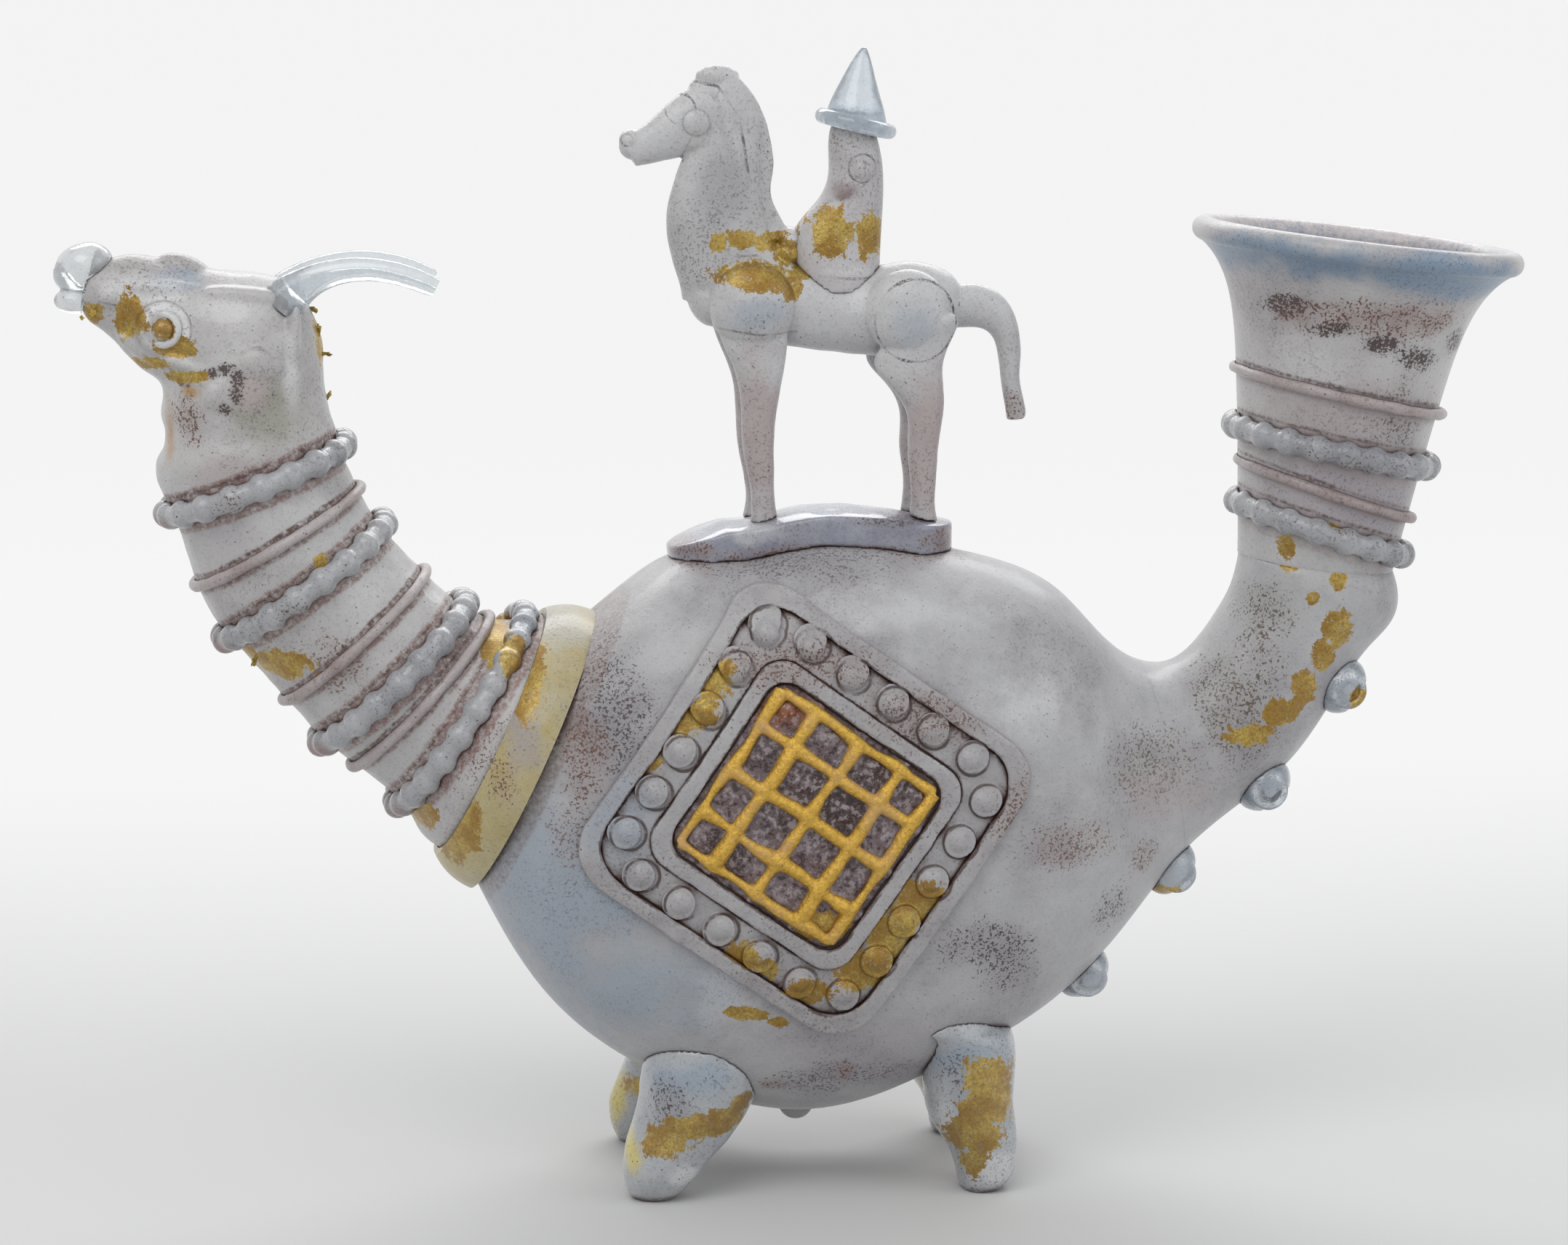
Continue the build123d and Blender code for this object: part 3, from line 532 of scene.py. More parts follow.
def modify(piece, kind, **settings):
    """Give a piece one modifier and apply it."""
    bpy.context.view_layer.objects.active = piece
    modifier = piece.modifiers.new(kind.lower(), kind)
    for key, value in settings.items():
        setattr(modifier, key, value)
    bpy.ops.object.modifier_apply(modifier=modifier.name)


def cloud_pattern(name, size):
    pattern = bpy.data.textures.new(name, "CLOUDS")
    pattern.noise_scale = size * mm
    pattern.noise_depth = 1
    return pattern


def dress(piece, slot, *finishes):
    """Ride on the body, and take a finish."""
    piece.data.materials.clear()
    for finish in finishes:
        piece.data.materials.append(finish)
    for face in piece.data.polygons:
        face.use_smooth = True
    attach(piece, "root")
    print(piece.name, len(piece.data.polygons), "faces")


def dab_pair(host, x, z, wide, tall, tilt=0.0, rise=1.3, thick=3.0):
    """A dab of soft glass pressed on the near side of a piece, and its like on the far side."""
    dabs = []
    for side in (-1, 1):
        start = spot(x, side * 200, z)
        hit, place, normal, index = nodes[host].ray_cast(start, Vector((0, -side, 0)))
        if not hit:
            continue
        bpy.ops.object.select_all(action="DESELECT")
        bpy.ops.mesh.primitive_uv_sphere_add(segments=24, ring_count=12, radius=1)
        dab = bpy.context.object
        place.y += side * (rise - thick) * mm
        dab.data.transform(
            Matrix.Translation(place) @ Matrix.Rotation(radians(tilt), 4, "Y")
            @ Matrix.Diagonal((wide * mm, thick * mm, tall * mm, 1)))
        dabs.append(dab)
    return dabs


def melted(name, node_names, cell=0.6, softness=8, waver=0.0, waver_size=9.0, dabs=(), swallowed=()):
    """Copies of some pieces, run together as hot glass does; dabs stand in for swallowed ones."""
    piece = joined_copy(name, node_names, dabs)
    modify(piece, "REMESH", mode="VOXEL", voxel_size=cell * mm, use_smooth_shade=True)
    modify(piece, "SMOOTH", factor=0.5, iterations=softness)
    if waver:
        modify(piece, "DISPLACE", texture=cloud_pattern(name, waver_size), strength=waver * mm,
               mid_level=0.5, texture_coords="GLOBAL")
    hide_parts(*node_names, *swallowed)
    return piece


# %% [markdown]
# ## Neck rings
# Every trail lies in a plane across the neck. Its node's box gives the middle of that plane, and
# trail_leans gives its lean in degrees from level. About the same plane lies a band on both sides of
# the trail, pigment together with painted shade, and a thin dark line of painted shade on one side.

# %% Planes of the trails
trail_leans = {
    "neck_beads_1": 21.0, "neck_thread_1": 30.0, "neck_beads_2": 35.0, "neck_thread_2": 41.5,
    "neck_beads_3": 43.0, "neck_thread_3": 46.5, "neck_beads_4": 55.0, "neck_collar": 64.6,
    "funnel_beads_lower": -18.1, "funnel_thread_lower": -18.6, "funnel_beads_upper": -12.1,
    "funnel_thread_upper": -12.6}


def ring_plane(node):
    """Middle of a trail, in millimetres from the belly, and the direction across it."""
    lean = radians(trail_leans[node])
    return (middle(node) - belly) / mm, Vector((-sin(lean), 0, cos(lean)))


neck_trails = [name for name in trail_leans if name.startswith(("neck_beads", "neck_thread"))]
funnel_trails = [name for name in trail_leans if name.startswith("funnel")]
ring_pigment_and_shade = {"neck": [], "funnel": []}
for name in neck_trails + funnel_trails:
    centre, direction = ring_plane(name)
    half = 6.2 if "beads" in name else 3.2
    host = name.split("_")[0]
    # Each trail gets a band on both sides, pigment with painted shade, and a thin dark line of painted
    # shade on one side.
    tint, strength = (brick, 0.9) if host == "neck" else (pink, 0.7)
    ring_pigment_and_shade[host].append((centre, direction, half, tint, strength))
    ring_pigment_and_shade[host].append((centre + direction * half * 0.75, direction, 0.8, soot, 0.8))
collar_centre, collar_across = ring_plane("neck_collar")
eye = (middle("head_eye_near") - belly) / mm
print("the bull's eye is at", eye)
print("trails on the neck and funnel:", len(neck_trails), len(funnel_trails))

# %% [markdown]
# The beads in the panel's lane are fused into one node. Their tops are the points that stand more
# than 3.3 mm in front of the body, and points that lie together belong to one bead.

# %% Middles of the panel's beads
groups = []
for vertex in nodes["panel_bead_lane"].data.vertices:
    start = Vector((vertex.co.x, -0.2, vertex.co.z))
    hit, skin, normal, index = nodes["body_front"].ray_cast(start, Vector((0, 1, 0)))
    if not hit or skin.y - vertex.co.y < 3.3 * mm:
        continue
    for group in groups:
        if (group[0] - vertex.co).length < 6 * mm:
            group.append(vertex.co.copy())
            break
    else:
        groups.append([vertex.co.copy()])
bead_middles = [sum(group, Vector()) / len(group) for group in groups]
print("beads in the panel's lane:", len(bead_middles))

# %% Finishes of the blown parts
frost = (0.43, 0.43, 0.44)
frost_deep = (0.32, 0.31, 0.33)
lilac = (0.36, 0.32, 0.36)
ice = (0.33, 0.39, 0.46)
body_glass = frosted(
    "body_glass", frost, frost_deep,
    stains=[
        (-70, 92, 30, 34, ice, 0.75), (-46, 62, 40, 26, ice, 0.7), (20, 45, 40, 16, lilac, 0.4),
        (-49, 142, 15, 24, plum, 0.6), (-58, 122, 8, 20, rust, 0.7), (-62, 104, 8, 14, rust, 0.4),
        (76, 98, 18, 10, rust, 0.5), (52, 70, 17, 15, plum, 0.7), (122, 134, 16, 22, umber, 0.7),
        (100, 118, 20, 16, umber, 0.5), (132, 156, 14, 16, umber, 0.6), (104, 108, 18, 12, pink, 0.5),
        (-27, 175, 14, 5, rust, 0.7), (38, 176, 14, 5, rust, 0.7), (10, 34, 34, 7, plum, 0.4),
        (-7, 32, 6, 3, rust, 0.9), (13, 36, 4, 5, rust, 0.6), (0, 176, 40, 8, plum, 0.3),
        # The pale ovals at (58, 136) and (28, 162) are painted highlights on the body's upper right and
        # top.
        (148, 172, 22, 12, (0.50, 0.49, 0.49), 0.9), (58, 136, 15, 12, haze_and_sheen, 0.55), (28, 162, 34, 7, haze_and_sheen, 0.4), (-20, 60, 12, 16, haze_and_sheen, 0.3),
        (88, 78, 12, 12, plum, 0.5), (96, 92, 8, 8, rust, 0.5)],
    gold=[
        (150.5, 153, 4.5, 7), (147, 145, 3.4, 6), (142, 137, 4.6, 5), (135, 130, 6, 4),
        (126, 124, 7, 3.6), (137, 172, 3, 4), (150, 167, 3, 3), (143, 162, 2, 2), (-15, 55, 7, 2.6),
        (-6, 52.5, 3, 1.6)],
    seams=[(collar_centre, collar_across, 10.0, rust, 0.4)])
lip_across = Vector((sin(radians(8)), 0, cos(radians(8))))
funnel_glass = frosted(
    "funnel_glass", (0.50, 0.49, 0.49), (0.38, 0.36, 0.37),
    stains=[
        (156, 237, 24, 6, rust, 0.7), (150, 215, 40, 14, pink, 0.6), (150, 190, 40, 14, lilac, 0.5),
        (140, 225, 14, 12, haze_and_sheen, 0.4), (166, 212, 12, 16, plum, 0.4), (134, 242.5, 8, 4, soot, 0.6),
        (146, 236.5, 9, 4.4, soot, 0.9), (158, 232, 10, 4.6, soot, 0.9), (170, 228, 11, 5.4, soot, 1.0),
        (181, 231, 9, 7, soot, 1.0), (150, 241, 22, 6, rust, 0.8), (172, 237, 16, 8, rust, 1.0),
        (124, 257, 18, 7, sea, 0.9), (142, 254.5, 20, 7.5, sea, 1.0), (162, 252, 20, 7.5, sea, 1.0),
        (182, 249, 18, 7.5, sea, 1.0), (196, 247, 12, 6, sea, 0.8)],
    gold=[(136, 176, 2.5, 4), (146, 181, 4, 2), (156, 176, 4, 2.5)],
    seams=ring_pigment_and_shade["funnel"] + [
        (Vector((158, 0, 263)), lip_across, 3.4, (0.45, 0.48, 0.51), 0.8),
        # This band makes the far half of the funnel, whose inner wall shows through the mouth, a pale
        # pink-grey.
        (Vector((158, 60, 255)), Vector((0.09, 1, 0.09)), 44.0, (0.68, 0.62, 0.62), 0.8)],
    specks=0.7)
bull_glass = frosted(
    "bull_glass", (0.50, 0.49, 0.49), (0.38, 0.36, 0.36),
    stains=[
        (-162, 250, 10, 3.6, ice, 0.7), (-132, 247, 9, 7, ice, 0.9), (-150, 185, 14, 14, lilac, 0.4),
        (-139, 216, 13, 11, (0.29, 0.28, 0.22), 0.7), (-165.4, 209, 3, 16, orange, 0.7),
        (-161, 214, 7, 15, rust, 0.9), (-159.6, 221.7, 5, 3, orange, 0.8),
        # The narrow pale oval at (-133, 226) is a painted sheen line down the neck.
        (-160.2, 228.4, 7, 2, haze_and_sheen, 0.7), (-168, 246, 12, 3, haze_and_sheen, 0.5), (-133, 226, 3, 14, haze_and_sheen, 0.6),
        (-150, 200, 24, 8, pink, 0.6), (-86, 130, 16, 22, rust, 0.5),
        (-122, 150, 10, 12, rust, 0.5), (-144, 222, 5, 6, pink, 0.8),
        (-154, 226.4, 4, 2.4, soot, 1.0), (-150, 227.8, 4, 2.4, soot, 1.0),
        (-147, 225.6, 3, 3.4, soot, 1.0), (-148, 221.6, 2.4, 3, soot, 1.0),
        (-151, 217.4, 2.4, 2.6, soot, 0.9), (-172, 248, 14, 4.6, haze_and_sheen, 0.6),
        (-148, 243, 14, 5, haze_and_sheen, 0.5), (-138, 190, 30, 5, haze_and_sheen, 0.3), (-118, 170, 20, 8, haze_and_sheen, 0.3)],
    gold=[
        (-175.4, 240.4, 4.6, 7.2), (-163.4, 233, 6.8, 3), (-160.2, 225.4, 6.5, 2.2),
        (-170, 228.6, 7, 1.8), (-185, 242, 3, 3.4), (-125, 236, 2.6, 10), (-137, 148, 9, 5),
        (-147, 149, 4, 4), (-80, 153, 4, 9), (-100, 106, 4, 5), (-126, 177, 2.5, 2.5)],
    seams=ring_pigment_and_shade["neck"], specks=0.75, drawn=[
        ([(-162, 223.4), (-157, 223.4)], 1.0, soot, 0.9),
        ([(-146, 231.8), (-144, 233), (-141, 233.2), (-138.6, 231.6), (-138, 229)], 0.7, plum, 0.6),
        ([(-178, 235), (-170, 229.5), (-163, 226)], 0.5, rust, 0.9),
        ([(-190, 244), (-184, 245), (-179, 244)], 0.5, soot, 0.8),
        ((eye.x, eye.z, 5.6), 1.4, haze_and_sheen, 0.9), ((eye.x, eye.z, 7.4), 0.3, plum, 0.5)])
horse_glass = frosted(
    "horse_glass", (0.54, 0.54, 0.55), (0.43, 0.42, 0.43),
    stains=[
        (-9, 240.5, 13, 6, ice, 0.6), (34.6, 238, 11, 11, ice, 0.55), (20, 243, 9, 7, haze_and_sheen, 0.8),
        (-5, 208, 14, 30, pink, 1.0), (40, 206, 14, 30, pink, 1.0), (62, 212, 5, 8, rust, 0.6),
        (-18, 275, 10, 14, (0.36, 0.36, 0.38), 0.8), (-30, 292, 8, 6, haze_and_sheen, 0.5)],
    gold=[
        (-18.5, 259, 3.4, 3.6), (-12, 260, 6, 3), (-5, 259, 6, 3.4), (1, 255.4, 5, 4),
        (5, 251.5, 5, 3), (-8, 250.4, 12, 4.4), (1.5, 248, 3, 5)],
    specks=0.8, drawn=[
        ([(-31, 277.5), (-28, 281.5), (-25.5, 287)], 0.5, soot, 0.9),
        ([(-24.6, 302), (-18, 300.5), (-12.4, 292), (-10.4, 279), (-8.4, 271)], 0.5, plum, 0.8),
        ([(-17, 255.4), (-8, 255.6), (-1, 250.5), (2, 246.5)], 0.5, soot, 0.9),
        ([(-19, 236.4), (-8, 234.6), (2.6, 235)], 0.4, plum, 0.7),
        ((34.6, 238, 11.2), 0.45, plum, 0.9), ((-28.3, 294.6, 4.0), 0.4, plum, 0.8),
        ((-42.6, 286.4, 1.6), 0.35, plum, 0.7)])
rider_glass = frosted(
    "rider_glass", (0.52, 0.50, 0.51), (0.41, 0.39, 0.40),
    stains=[(17, 251, 14, 3, haze_and_sheen, 0.6), (15.4, 272.4, 5.0, 3.4, (0.27, 0.21, 0.21), 0.9),
            (20, 286, 8, 6, haze_and_sheen, 0.4)],
    gold=[(12, 262, 7.5, 7.5), (22.6, 261, 4.6, 7.6)], specks=0.9, drawn=[
        ((20.7, 278.6, 3.8), 0.4, plum, 0.9), ([(9, 249.5), (22, 249), (30, 250.5)], 0.6, soot, 0.7)])
slab_glass = frosted(
    "slab_glass", (0.27, 0.30, 0.37), (0.20, 0.20, 0.26), gloss=0.8, dirt_and_shade=1.0,
    stains=[(-30, 177, 12, 4, rust, 1.0), (42, 178, 10, 4, rust, 1.0), (10, 175.5, 46, 3, rust, 0.7),
            (-10, 181, 10, 4, haze_and_sheen, 0.4), (30, 184, 14, 2, plum, 0.8)])

# %% [markdown]
# ## Dabs of clear glass
# Prunts, beads, horns and the pointed hat were left clear. They look dark at their edges, where light
# is bent away, and pick up blue from the thicker glass. On the prunts, pale and dark rings paint that
# light and shade.

# %% Finishes of the clear parts
clear_glass = clear("clear_glass", (0.80, 0.86, 0.91), soot=0.35, veil=0.5)
horn_glass = clear("horn_glass", (0.88, 0.92, 0.94), soot=0.05, veil=0.3)
lip_glass = clear("lip_glass", (0.86, 0.88, 0.88), soot=1.0, veil=0.6)
# Painted highlight and shade on each prunt: a pale ring along its curl, a dark ring inside the curl,
# and a dark ring outside it, set a little up and to the left.
prunt_light_and_shade = []
for step in (1, 2, 3, 4):
    x, y, z = (middle("tail_prunt_" + str(step)) - belly) / mm
    prunt_light_and_shade += [((x - 0.5, z + 0.8, 6.0), 1.0, (0.16, 0.20, 0.25), 0.8),
               ((x, z, 4.2), 0.9, (0.66, 0.70, 0.74), 0.9), ((x, z, 2.2), 0.8, (0.12, 0.14, 0.17), 0.8)]
prunt_glass = frosted(
    "prunt_glass", (0.42, 0.46, 0.50), (0.28, 0.32, 0.37), skin=0.5, dirt_and_shade=0.3, gloss=1.0,
    crease=2.0, occluded_from=0.3, specks=0.5, gold=[(158, 132, 4, 4), (105, 79, 4.6, 2.6)],
    drawn=prunt_light_and_shade)
bead_glass = frosted(
    "bead_glass", (0.37, 0.375, 0.395), (0.25, 0.255, 0.28), stains=[
        (-170, 184, 8, 7, brick, 0.8), (-154, 149, 8, 7, brick, 0.7), (-128, 121, 8, 7, brick, 0.7),
        (-107, 104, 7, 7, brick, 0.6), (-150, 192, 12, 8, umber, 0.5), (-70, 150, 10, 12, ice, 0.6),
        (150, 190, 9, 14, umber, 0.6), (-128, 162, 12, 8, umber, 0.4)],
    gold=[(-76, 150, 5, 6), (-60, 162, 5, 4)], specks=1.0, dirt_and_shade=1.0, gloss=0.6, crease=2.2,
    occluded_from=0.16)
thread_glass = frosted(
    "thread_glass", (0.40, 0.35, 0.35), (0.28, 0.21, 0.20), specks=0.9, dirt_and_shade=1.0, crease=2.0)
foot_glass = frosted(
    "foot_glass", (0.44, 0.46, 0.48), (0.33, 0.35, 0.38), skin=0.5, gloss=0.9, specks=0.9,
    stains=[
        (-30, 36, 20, 8, ice, 0.9), (46, 38, 16, 9, ice, 0.9), (-34, 30, 8, 10, plum, 0.6),
        (44, 34, 8, 10, plum, 0.5), (-31, 8, 7, 5, haze_and_sheen, 0.9), (55, 8, 8, 6, haze_and_sheen, 0.8),
        (-45.5, 15, 4, 13, (0.68, 0.56, 0.13), 0.9), (-28, 4, 4, 3, rust, 0.9),
        (40, 22, 4, 10, haze_and_sheen, 0.5)],
    gold=[(-36, 18, 8, 4.6), (-28, 22.4, 9, 4.6), (-20, 23.6, 7, 4.4), (-15.5, 28, 3.4, 3),
          (51, 33, 8, 8), (52, 26, 9, 8), (48.6, 18, 8.5, 7), (48, 10, 4, 5)])

# %% [markdown]
# ## Leaf on the collar and the panel
# The collar hides the joint of neck and body under leaf that has worn to a mustard yellow. The
# panel's threads kept theirs bright, because they stand proud of the dark grit round them.

# %% Gold collar
def worn_leaf(name, bright, dull, wear, rough=0.38, metal=0.8, pits=1.0):
    """Gold leaf over glass, rubbed down to a dull yellow where wear is high."""
    finish = Finish(name)
    cloud = finish.noise(12.0, 4.0, 0.6)
    fine = finish.noise(1.1, 4.0, 0.7)
    rubbed = (cloud + fine * 0.35).rise(0.62 - wear * 0.3, 0.95 - wear * 0.2)
    colour = finish.mix(fine.rise(0.35, 0.7) * pits, bright, gold_dark)
    colour = finish.mix(rubbed, colour, dull)
    colour = finish.mix(fine.rise(0.62, 0.75) * 0.5, colour, rust)
    finish.set(Base_Color=colour, Metallic=(1.0 - rubbed) * metal,
               Roughness=rubbed * 0.2 + rough, Normal=finish.bump(fine, 0.5))
    return finish.material


collar_leaf = frosted(
    "collar_leaf", (0.46, 0.37, 0.14), (0.36, 0.31, 0.17), stains=[
        (-60, 157, 12, 8, (0.40, 0.40, 0.36), 0.7), (-74, 136, 9, 18, (0.33, 0.30, 0.31), 0.8),
        (-94, 98, 8, 14, (0.46, 0.38, 0.14), 0.8), (-80, 120, 6, 12, rust, 0.6)],
    gold=[(-92, 106, 8, 12), (-72, 146, 5, 12)], specks=0.8, dirt_and_shade=1.0, gloss=0.3, crease=2.5)
thread_leaf = worn_leaf("thread_leaf", (0.78, 0.48, 0.085), (0.55, 0.33, 0.14), 0.0, 0.24, 0.7, 0.45)
flake_leaf = worn_leaf("flake_leaf", (0.62, 0.45, 0.10), (0.30, 0.22, 0.05), 0.3)

# Middles of the painted shadows, one under each bead of the lane, shifted down and to the right.
shadows = [(place - belly) / mm + Vector((0.7, 0, -0.5)) for place in bead_middles]
panel_glass = frosted(
    "panel_glass", (0.37, 0.36, 0.37), (0.30, 0.28, 0.29),
    stains=[(-5, 150, 30, 10, rust, 0.6), (60, 110, 16, 20, rust, 0.6),
            (-50, 110, 18, 16, ice, 0.5), (34, 136, 26, 10, rust, 0.5)],
    gold=[(-30, 140, 9, 9), (-24, 147, 7, 7), (-41, 127, 5, 5), (32, 84, 8, 8), (26, 76, 12, 10),
          (16, 67, 8, 6), (-16, 71, 5, 6), (-10, 68, 4, 4), (1, 62, 6, 4)],
    specks=0.8, dirt_and_shade=1.0, crease=2.4, occluded_from=0.14, beads=shadows,
    lines=[(42.6, 11.5), (32.2, 8.0), (27.8, 6.5)], fence=((42.4, 11.5), (32.0, 8.0)))
grit = frosted(
    "grit", (0.17, 0.115, 0.125), (0.085, 0.052, 0.06),
    stains=[(-5, 138, 12, 7, (0.26, 0.085, 0.035), 1.0), (30, 100, 16, 14, (0.30, 0.25, 0.27), 0.8),
            (-22, 100, 12, 10, soot, 0.9), (8, 112, 20, 16, soot, 0.8), (24, 122, 12, 9, soot, 0.8)],
    gold=[(5, 80, 9, 4)], specks=1.0, skin=0.0, bloom=0.4, gloss=0.1, chips=0.75)
pupil = frosted(
    "eye_glass", (0.62, 0.62, 0.62), (0.52, 0.52, 0.52), gold=[(eye.x, eye.z, 2.9, 2.9)], gloss=0.8)

# %% Give each piece of the frame its finish
finish_of = {
    "body_front": body_glass, "body_back": body_glass, "body_tail": body_glass,
    "mouth_funnel": funnel_glass, "neck_tube": bull_glass,
    "neck_collar": collar_leaf, "plinth": slab_glass, "pontil_nub": body_glass,
    "panel_frame": panel_glass, "panel_bead_lane": panel_glass, "panel_inner_frame": panel_glass,
    "panel_inlay": grit, "head_eye_near": pupil, "head_eye_far": pupil}
for name, piece in nodes.items():
    finish = finish_of.get(name)
    if finish is None:
        if "beads" in name:
            finish = bead_glass
        elif "thread" in name:
            finish = thread_glass
        elif "prunt" in name:
            finish = prunt_glass
        elif "foot" in name:
            finish = foot_glass
        elif "horn" in name:
            finish = horn_glass
        elif "hat" in name or "brim" in name:
            finish = clear_glass
        elif "lip" in name:
            finish = lip_glass
        elif name.startswith("rider"):
            finish = rider_glass
        elif name.startswith("horse"):
            finish = horse_glass
        else:
            finish = bull_glass
    piece.data.materials.clear()
    piece.data.materials.append(finish)

# Painted light: from 60 mm to 620 mm behind the belly the floor fades into a white glow, which the back
# wall keeps, so the floor looks darker towards the camera.
painted_floor = Finish("floor_paper_painted_glow")
depth = painted_floor.along((0, 0, 0), (0, 1, 0))
far = depth.rise(60, 620)
painted_floor.set(
    Base_Color=painted_floor.mix(far, (0.62, 0.62, 0.62), (0.02, 0.02, 0.02)),
    Emission_Color=painted_floor.mix(far, (0.0, 0.0, 0.0), (0.88, 0.88, 0.88)),
    Emission_Strength=1.0, Roughness=0.9, Specular_IOR_Level=0.1)
backdrop.data.materials.append(painted_floor.material)

# %% [markdown]
# ## Trails
# A trail is wound on hot and pinched into beads before it sets, so no two beads are quite alike.
# The remesh rounds the solid beads, and a cloud pattern makes them uneven.

# %% Melt the trails of the neck and the funnel
for name in neck_trails + funnel_trails:
    if "beads" in name:
        ring = melted("run_" + name, [name], cell=0.45, softness=5, waver=0.5, waver_size=7.0)
        dress(ring, "clear_glass", bead_glass)
    else:
        ring = melted("run_" + name, [name], cell=0.4, softness=2, waver=0.7, waver_size=8.0)
        dress(ring, "frosted_glass", thread_glass)

# %% [markdown]
# ## The bull
# Neck, skull and forelock are one piece of glass. Brow, cheek and muzzle were built up with small
# dabs, which are pressed on here in pairs, near side and far side, before everything is melted.

# %% Press dabs on the skull and melt the bull
bull_dabs = []
for place in [
        (eye.x, eye.z, 7.6, 7.0, 0, 1.4), (-160, 228.6, 7.5, 2.0, 12, 1.2),
        (-172, 231.5, 9, 2.2, 34, 1.0), (-152.5, 220.5, 4.6, 4.6, 0, 1.6),
        (-141.5, 228, 6.5, 5.5, 0, 1.3), (-165, 248.4, 12, 2.2, 4, 1.4),
        (-145, 246, 12, 3.0, 6, 1.2), (-133, 232, 2.4, 12, 8, 1.0), (-180, 246, 5, 3.4, 0, 1.3)]:
    bull_dabs += dab_pair("head_skull", *place)
bull = melted(
    "bull", ["neck_tube", "head_skull", "head_forelock"], cell=0.86, softness=3, waver=0.8,
    dabs=bull_dabs)
dress(bull, "frosted_glass", bull_glass)

# %% Melt the lips
lips = melted("bull_lips", ["head_upper_lip", "head_lower_lip"], cell=0.5, softness=8, waver=0.8)
dress(lips, "clear_glass", lip_glass)

# %% [markdown]
# ## Prunts
# A prunt is a blob dropped on the tail and stamped with a ring, so each has a raised curl with a
# small heart. The curl is a torus, sunk into the face of the blob until only its back shows.

# %% Stamp a curl into each prunt
def sunk(node, make, deep, **size):
    """A round primitive that faces the front, its middle deep below the front of a node."""
    low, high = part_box(node)
    place = middle(node)
    place.y = low[1] + deep * mm
    bpy.ops.object.select_all(action="DESELECT")
    make(**size)
    piece = bpy.context.object
    piece.data.transform(Matrix.Translation(place) @ Matrix.Rotation(radians(84), 4, "X"))
    return piece


for step in (1, 2, 3, 4):
    name = "tail_prunt_" + str(step)
    curl = sunk(name, bpy.ops.mesh.primitive_torus_add, 3.0, major_segments=40, minor_segments=12,
                major_radius=4.4 * mm, minor_radius=1.2 * mm)
    heart = sunk(name, bpy.ops.mesh.primitive_uv_sphere_add, 3.4, segments=24, ring_count=12,
                 radius=2.5 * mm)
    prunt = melted("run_" + name, [name], cell=0.4, softness=4, waver=0.6, waver_size=5.0,
                   dabs=[curl, heart])
    dress(prunt, "clear_glass", prunt_glass)

# %% [markdown]
# ## Feet
# The feet were pulled from soft blobs, and gravity left each one a little different.

# %% Melt the feet
for side in ("front_near", "front_far", "rear_near", "rear_far"):
    name = "foot_" + side
    foot = melted("run_" + name, [name], cell=0.6, softness=6, waver=1.2, waver_size=10.0)
    dress(foot, "frosted_glass", foot_glass)

# %% [markdown]
# ## The horse and its rider
# The horse stands on a slab that thins out towards its left end. Its chest, cheeks, nostrils and
# mane are dabs again. Dabs that sit on the middle plane are placed one by one.

# %% Melt the slab and thin its left end
slab = melted("horse_slab", ["plinth"], cell=0.6, softness=10, waver=1.0, waver_size=12.0)
slab_middle = middle("plinth")
low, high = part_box("plinth")
half_length = (high[0] - low[0]) / 2
under = low[2] + 1.5 * mm
for vertex in slab.data.vertices:
    out = (slab_middle.x - vertex.co.x) / half_length
    share = max(0.0, min(1.0, (out - 0.62) / 0.38))
    vertex.co.z -= 0.5 * share * max(0.0, vertex.co.z - under)
dress(slab, "figure_glass", slab_glass)

# %% Press dabs on the horse and melt it
horse_dabs = []
for x, z, wide, tall, thick, tilt in [
        (-20.5, 243, 5.6, 7.6, 8, -28), (-41.2, 284.6, 3.4, 3.4, 3.2, 0), (-18, 303.2, 6, 3, 3, 0),
        (1.5, 259, 3.4, 4, 5, 0), (1.2, 255.8, 4.2, 3.4, 5, 0)]:
    bpy.ops.object.select_all(action="DESELECT")
    bpy.ops.mesh.primitive_uv_sphere_add(segments=24, ring_count=12, radius=1)
    dab = bpy.context.object
    at = spot(x, 0, z)
    at.y = middle("horse_barrel").y
    dab.data.transform(
        Matrix.Translation(at) @ Matrix.Rotation(radians(tilt), 4, "Y")
        @ Matrix.Diagonal((wide * mm, thick * mm, tall * mm, 1)))
    horse_dabs.append(dab)
for host, *place in [
        ("horse_head", -41.5, 286, 3.0, 3.2, 0, 0.8), ("horse_head", -24, 288.5, 5, 5, 0, 0.8),
        ("horse_neck", -14, 284, 2.6, 16, -14, 1.0), ("horse_neck", -20, 299, 6, 3.0, 20, 1.0)]:
    horse_dabs += dab_pair(host, *place)
horse_nodes = [name for name in nodes if name.startswith("horse") and "eye" not in name]
horse = melted("horse", horse_nodes, cell=0.5, softness=3, waver=0.5, dabs=horse_dabs)
dress(horse, "figure_glass", horse_glass)

# %% Melt the rider
arms = dab_pair("rider_torso", 16.0, 272.6, 3.6, 2.0, -44, 1.3)
arms += dab_pair("rider_torso", 20.7, 278.0, 3.2, 3.4, 0, 1.2)
rider = melted("rider", ["rider_torso"], cell=0.5, softness=4, dabs=arms,
               swallowed=["rider_arm_near", "rider_arm_far"])
dress(rider, "figure_glass", rider_glass)

# %% [markdown]
# ## The panel
# Two frames of thick thread hold a lane of beads and a field of dark grit. The field's ground is
# smoothed hard, because the grit was poured loose and levelled itself.

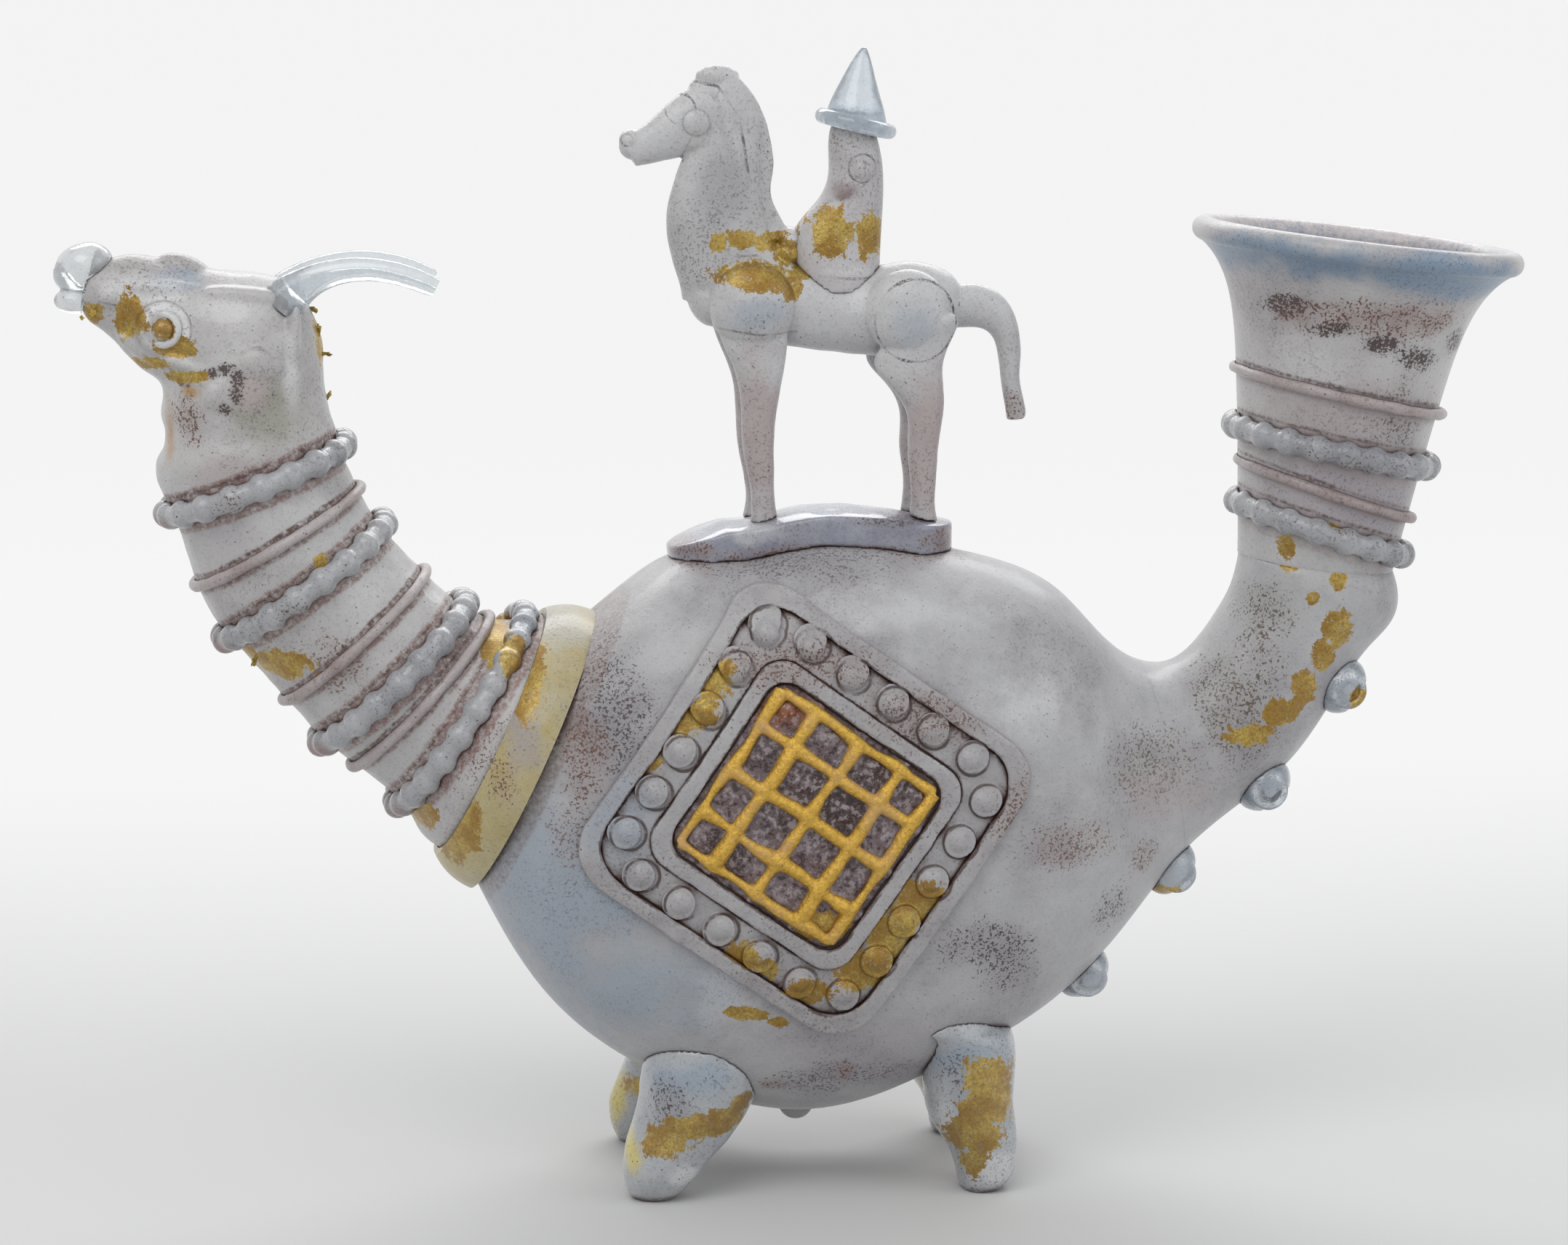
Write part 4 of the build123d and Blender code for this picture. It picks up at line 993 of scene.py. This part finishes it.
# %% Melt the panel
relief = melted(
    "panel_relief", ["panel_frame", "panel_inner_frame"], cell=0.5, softness=3, waver=0.7,
    waver_size=7.0)
dress(relief, "frosted_glass", panel_glass)
buttons = []
for place in bead_middles:
    bpy.ops.object.select_all(action="DESELECT")
    bpy.ops.mesh.primitive_cylinder_add(vertices=32, radius=4.5 * mm, depth=6 * mm)
    button = bpy.context.object
    hit, skin, normal, index = nodes["body_front"].ray_cast(
        Vector((place.x, -0.2, place.z)), Vector((0, 1, 0)))
    button.data.transform(Matrix.Translation(skin - normal * 0.3 * mm)
                          @ normal.to_track_quat("Z", "Y").to_matrix().to_4x4())
    buttons.append(button)
lane = melted("panel_lane", ["panel_bead_lane"], cell=0.4, softness=3, waver=0.6, waver_size=7.0,
              dabs=buttons)
dress(lane, "frosted_glass", panel_glass)
ground = melted("panel_ground", ["panel_inlay"], cell=0.55, softness=24)
dress(ground, "frosted_glass", grit)

# %% [markdown]
# ## Threads of the panel
# The maker trailed soft threads over the panel and gilded them. A trailed thread is never quite
# straight or even, and it swells where it crosses another. Each one is a path whose points are
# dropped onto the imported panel, turned into a tube of uneven thickness, and run together with the
# rest by a remesh.

# %% Drop points onto the front
field_half = 27.6


def on_front(u, v):
    """The point of the body's front skin at a place of the panel, given in millimetres."""
    start = panel_middle + (panel_right * u + panel_up * v) * mm
    start.y = -0.2
    hit, place, normal, index = nodes["body_front"].ray_cast(start, Vector((0, 1, 0)))
    return place if hit else start


def tube(name, places, radius, unevenness, seed, closed=False):
    """A round bar of uneven thickness along some places."""
    bpy.ops.object.select_all(action="DESELECT")
    bpy.ops.curve.primitive_nurbs_path_add(location=(0, 0, 0))
    path = bpy.context.object
    path.name = name
    spline = path.data.splines[0]
    spline.points.add(len(places) - len(spline.points))
    for step, (point, place) in enumerate(zip(spline.points, places)):
        point.co = (*place, 1)
        swell = noise.noise(Vector((step * 0.7, seed * 3.1, 0.4)))
        point.radius = 1 + unevenness * swell
    spline.order_u = 3
    spline.use_endpoint_u = not closed
    spline.use_cyclic_u = closed
    path.data.bevel_depth = radius * mm
    path.data.bevel_resolution = 3
    path.data.use_fill_caps = True
    bpy.ops.object.convert(target="MESH")
    return bpy.context.object


def joined_pieces(name, parts):
    bpy.ops.object.select_all(action="DESELECT")
    for part in parts:
        part.select_set(True)
    bpy.context.view_layer.objects.active = parts[0]
    bpy.ops.object.join()
    piece = bpy.context.object
    piece.name = name
    return piece


# %% Lay the gilt threads
def thread_places(ends, lift, seed, steps=15):
    """Places of a slightly wandering thread between two places of the panel."""
    (u1, v1), (u2, v2) = ends
    places = []
    for step in range(steps):
        share = step / (steps - 1)
        wander = 0.9 * noise.noise(Vector((share * 4, seed * 1.7, 2.0)))
        u = u1 + (u2 - u1) * share + wander * (v2 != v1)
        v = v1 + (v2 - v1) * share + wander * (u2 != u1)
        place = on_front(u, v)
        place.y -= lift * mm
        places.append(place)
    return places


pitch = 13.8
reach = field_half - 3.2
threads = []
for step in (-1, 0, 1):
    for turn in (0, 1):
        line = [(step * pitch, -reach), (step * pitch, reach)]
        if turn:
            line = [(v, u) for u, v in line]
        seed = step + 5 * turn
        threads.append(tube("thread", thread_places(line, 1.6, seed), 2.0, 0.6, seed))
corners = [(-reach, -reach), (reach, -reach), (reach, reach), (-reach, reach)]
for step in range(4):
    line = [corners[step], corners[(step + 1) % 4]]
    threads.append(tube("thread", thread_places(line, 1.5, step + 20), 1.7, 0.6, step + 20))
panel_threads = joined_pieces("panel_threads", threads)
modify(panel_threads, "REMESH", mode="VOXEL", voxel_size=0.4 * mm, use_smooth_shade=True)
modify(panel_threads, "SMOOTH", factor=0.5, iterations=10)
dress(panel_threads, "gilt_band", thread_leaf)

# %% [markdown]
# ## Loose leaf
# Gold leaf is thinner than paper. Where it came away from the nape and the belly, torn scraps of it
# stand out into the air.

# %% Torn scraps
def scrap(name, centre, size, turn, lean, seed):
    """One torn, crumpled bit of leaf."""
    bpy.ops.object.select_all(action="DESELECT")
    bpy.ops.mesh.primitive_grid_add(x_subdivisions=16, y_subdivisions=16, size=1, location=(0, 0, 0))
    piece = bpy.context.object
    piece.name = name
    torn = []
    for vertex in piece.data.vertices:
        flat = Vector((vertex.co.x, vertex.co.y, 0))
        ragged = 0.30 + 0.20 * noise.noise(flat * 6 + Vector((seed, 0, 0)))
        torn.append(flat.length > ragged)
        vertex.co.z = 0.30 * noise.noise(flat * 3 + Vector((0, seed, 0)))
    bpy.ops.object.mode_set(mode="EDIT")
    bpy.ops.mesh.select_mode(type="VERT")
    bpy.ops.mesh.select_all(action="DESELECT")
    bpy.ops.object.mode_set(mode="OBJECT")
    for vertex, gone in zip(piece.data.vertices, torn):
        vertex.select = gone
    bpy.ops.object.mode_set(mode="EDIT")
    bpy.ops.mesh.delete(type="VERT")
    bpy.ops.object.mode_set(mode="OBJECT")
    modify(piece, "SOLIDIFY", thickness=0.04)
    turned = Matrix.Translation(centre) @ Matrix.Rotation(turn, 4, "Y") @ Matrix.Rotation(
        lean, 4, "X") @ Matrix.Diagonal((size[0] * mm * 2, size[1] * mm * 2, 3 * mm, 1))
    piece.data.transform(turned)
    return piece


scrap_list = [
    ((-127.0, 0, 241.5), (3.2, 1.2), 0.5), ((-126.2, -3, 236.0), (2.0, 4.0), 0.2),
    ((-125.8, -2, 230.0), (2.6, 2.6), -0.6), ((-124.4, 0, 229.6), (3.6, 1.1), 0.1),
    ((-123.4, 1, 218.0), (1.0, 3.0), 0.5), ((-185.2, -8, 241.8), (2.0, 2.6), 0.3),
    ((-188.0, -8, 240.6), (1.2, 1.2), 0.9), ((-144.4, -16, 148.6), (1.2, 3.2), 0.4)]
scraps = [
    scrap("scrap", spot(*place), size, turn, radians(80), step * 2.3)
    for step, (place, size, turn) in enumerate(scrap_list)]
loose_leaf = joined_pieces("loose_leaf", scraps)
dress(loose_leaf, "gilt_band", flake_leaf)
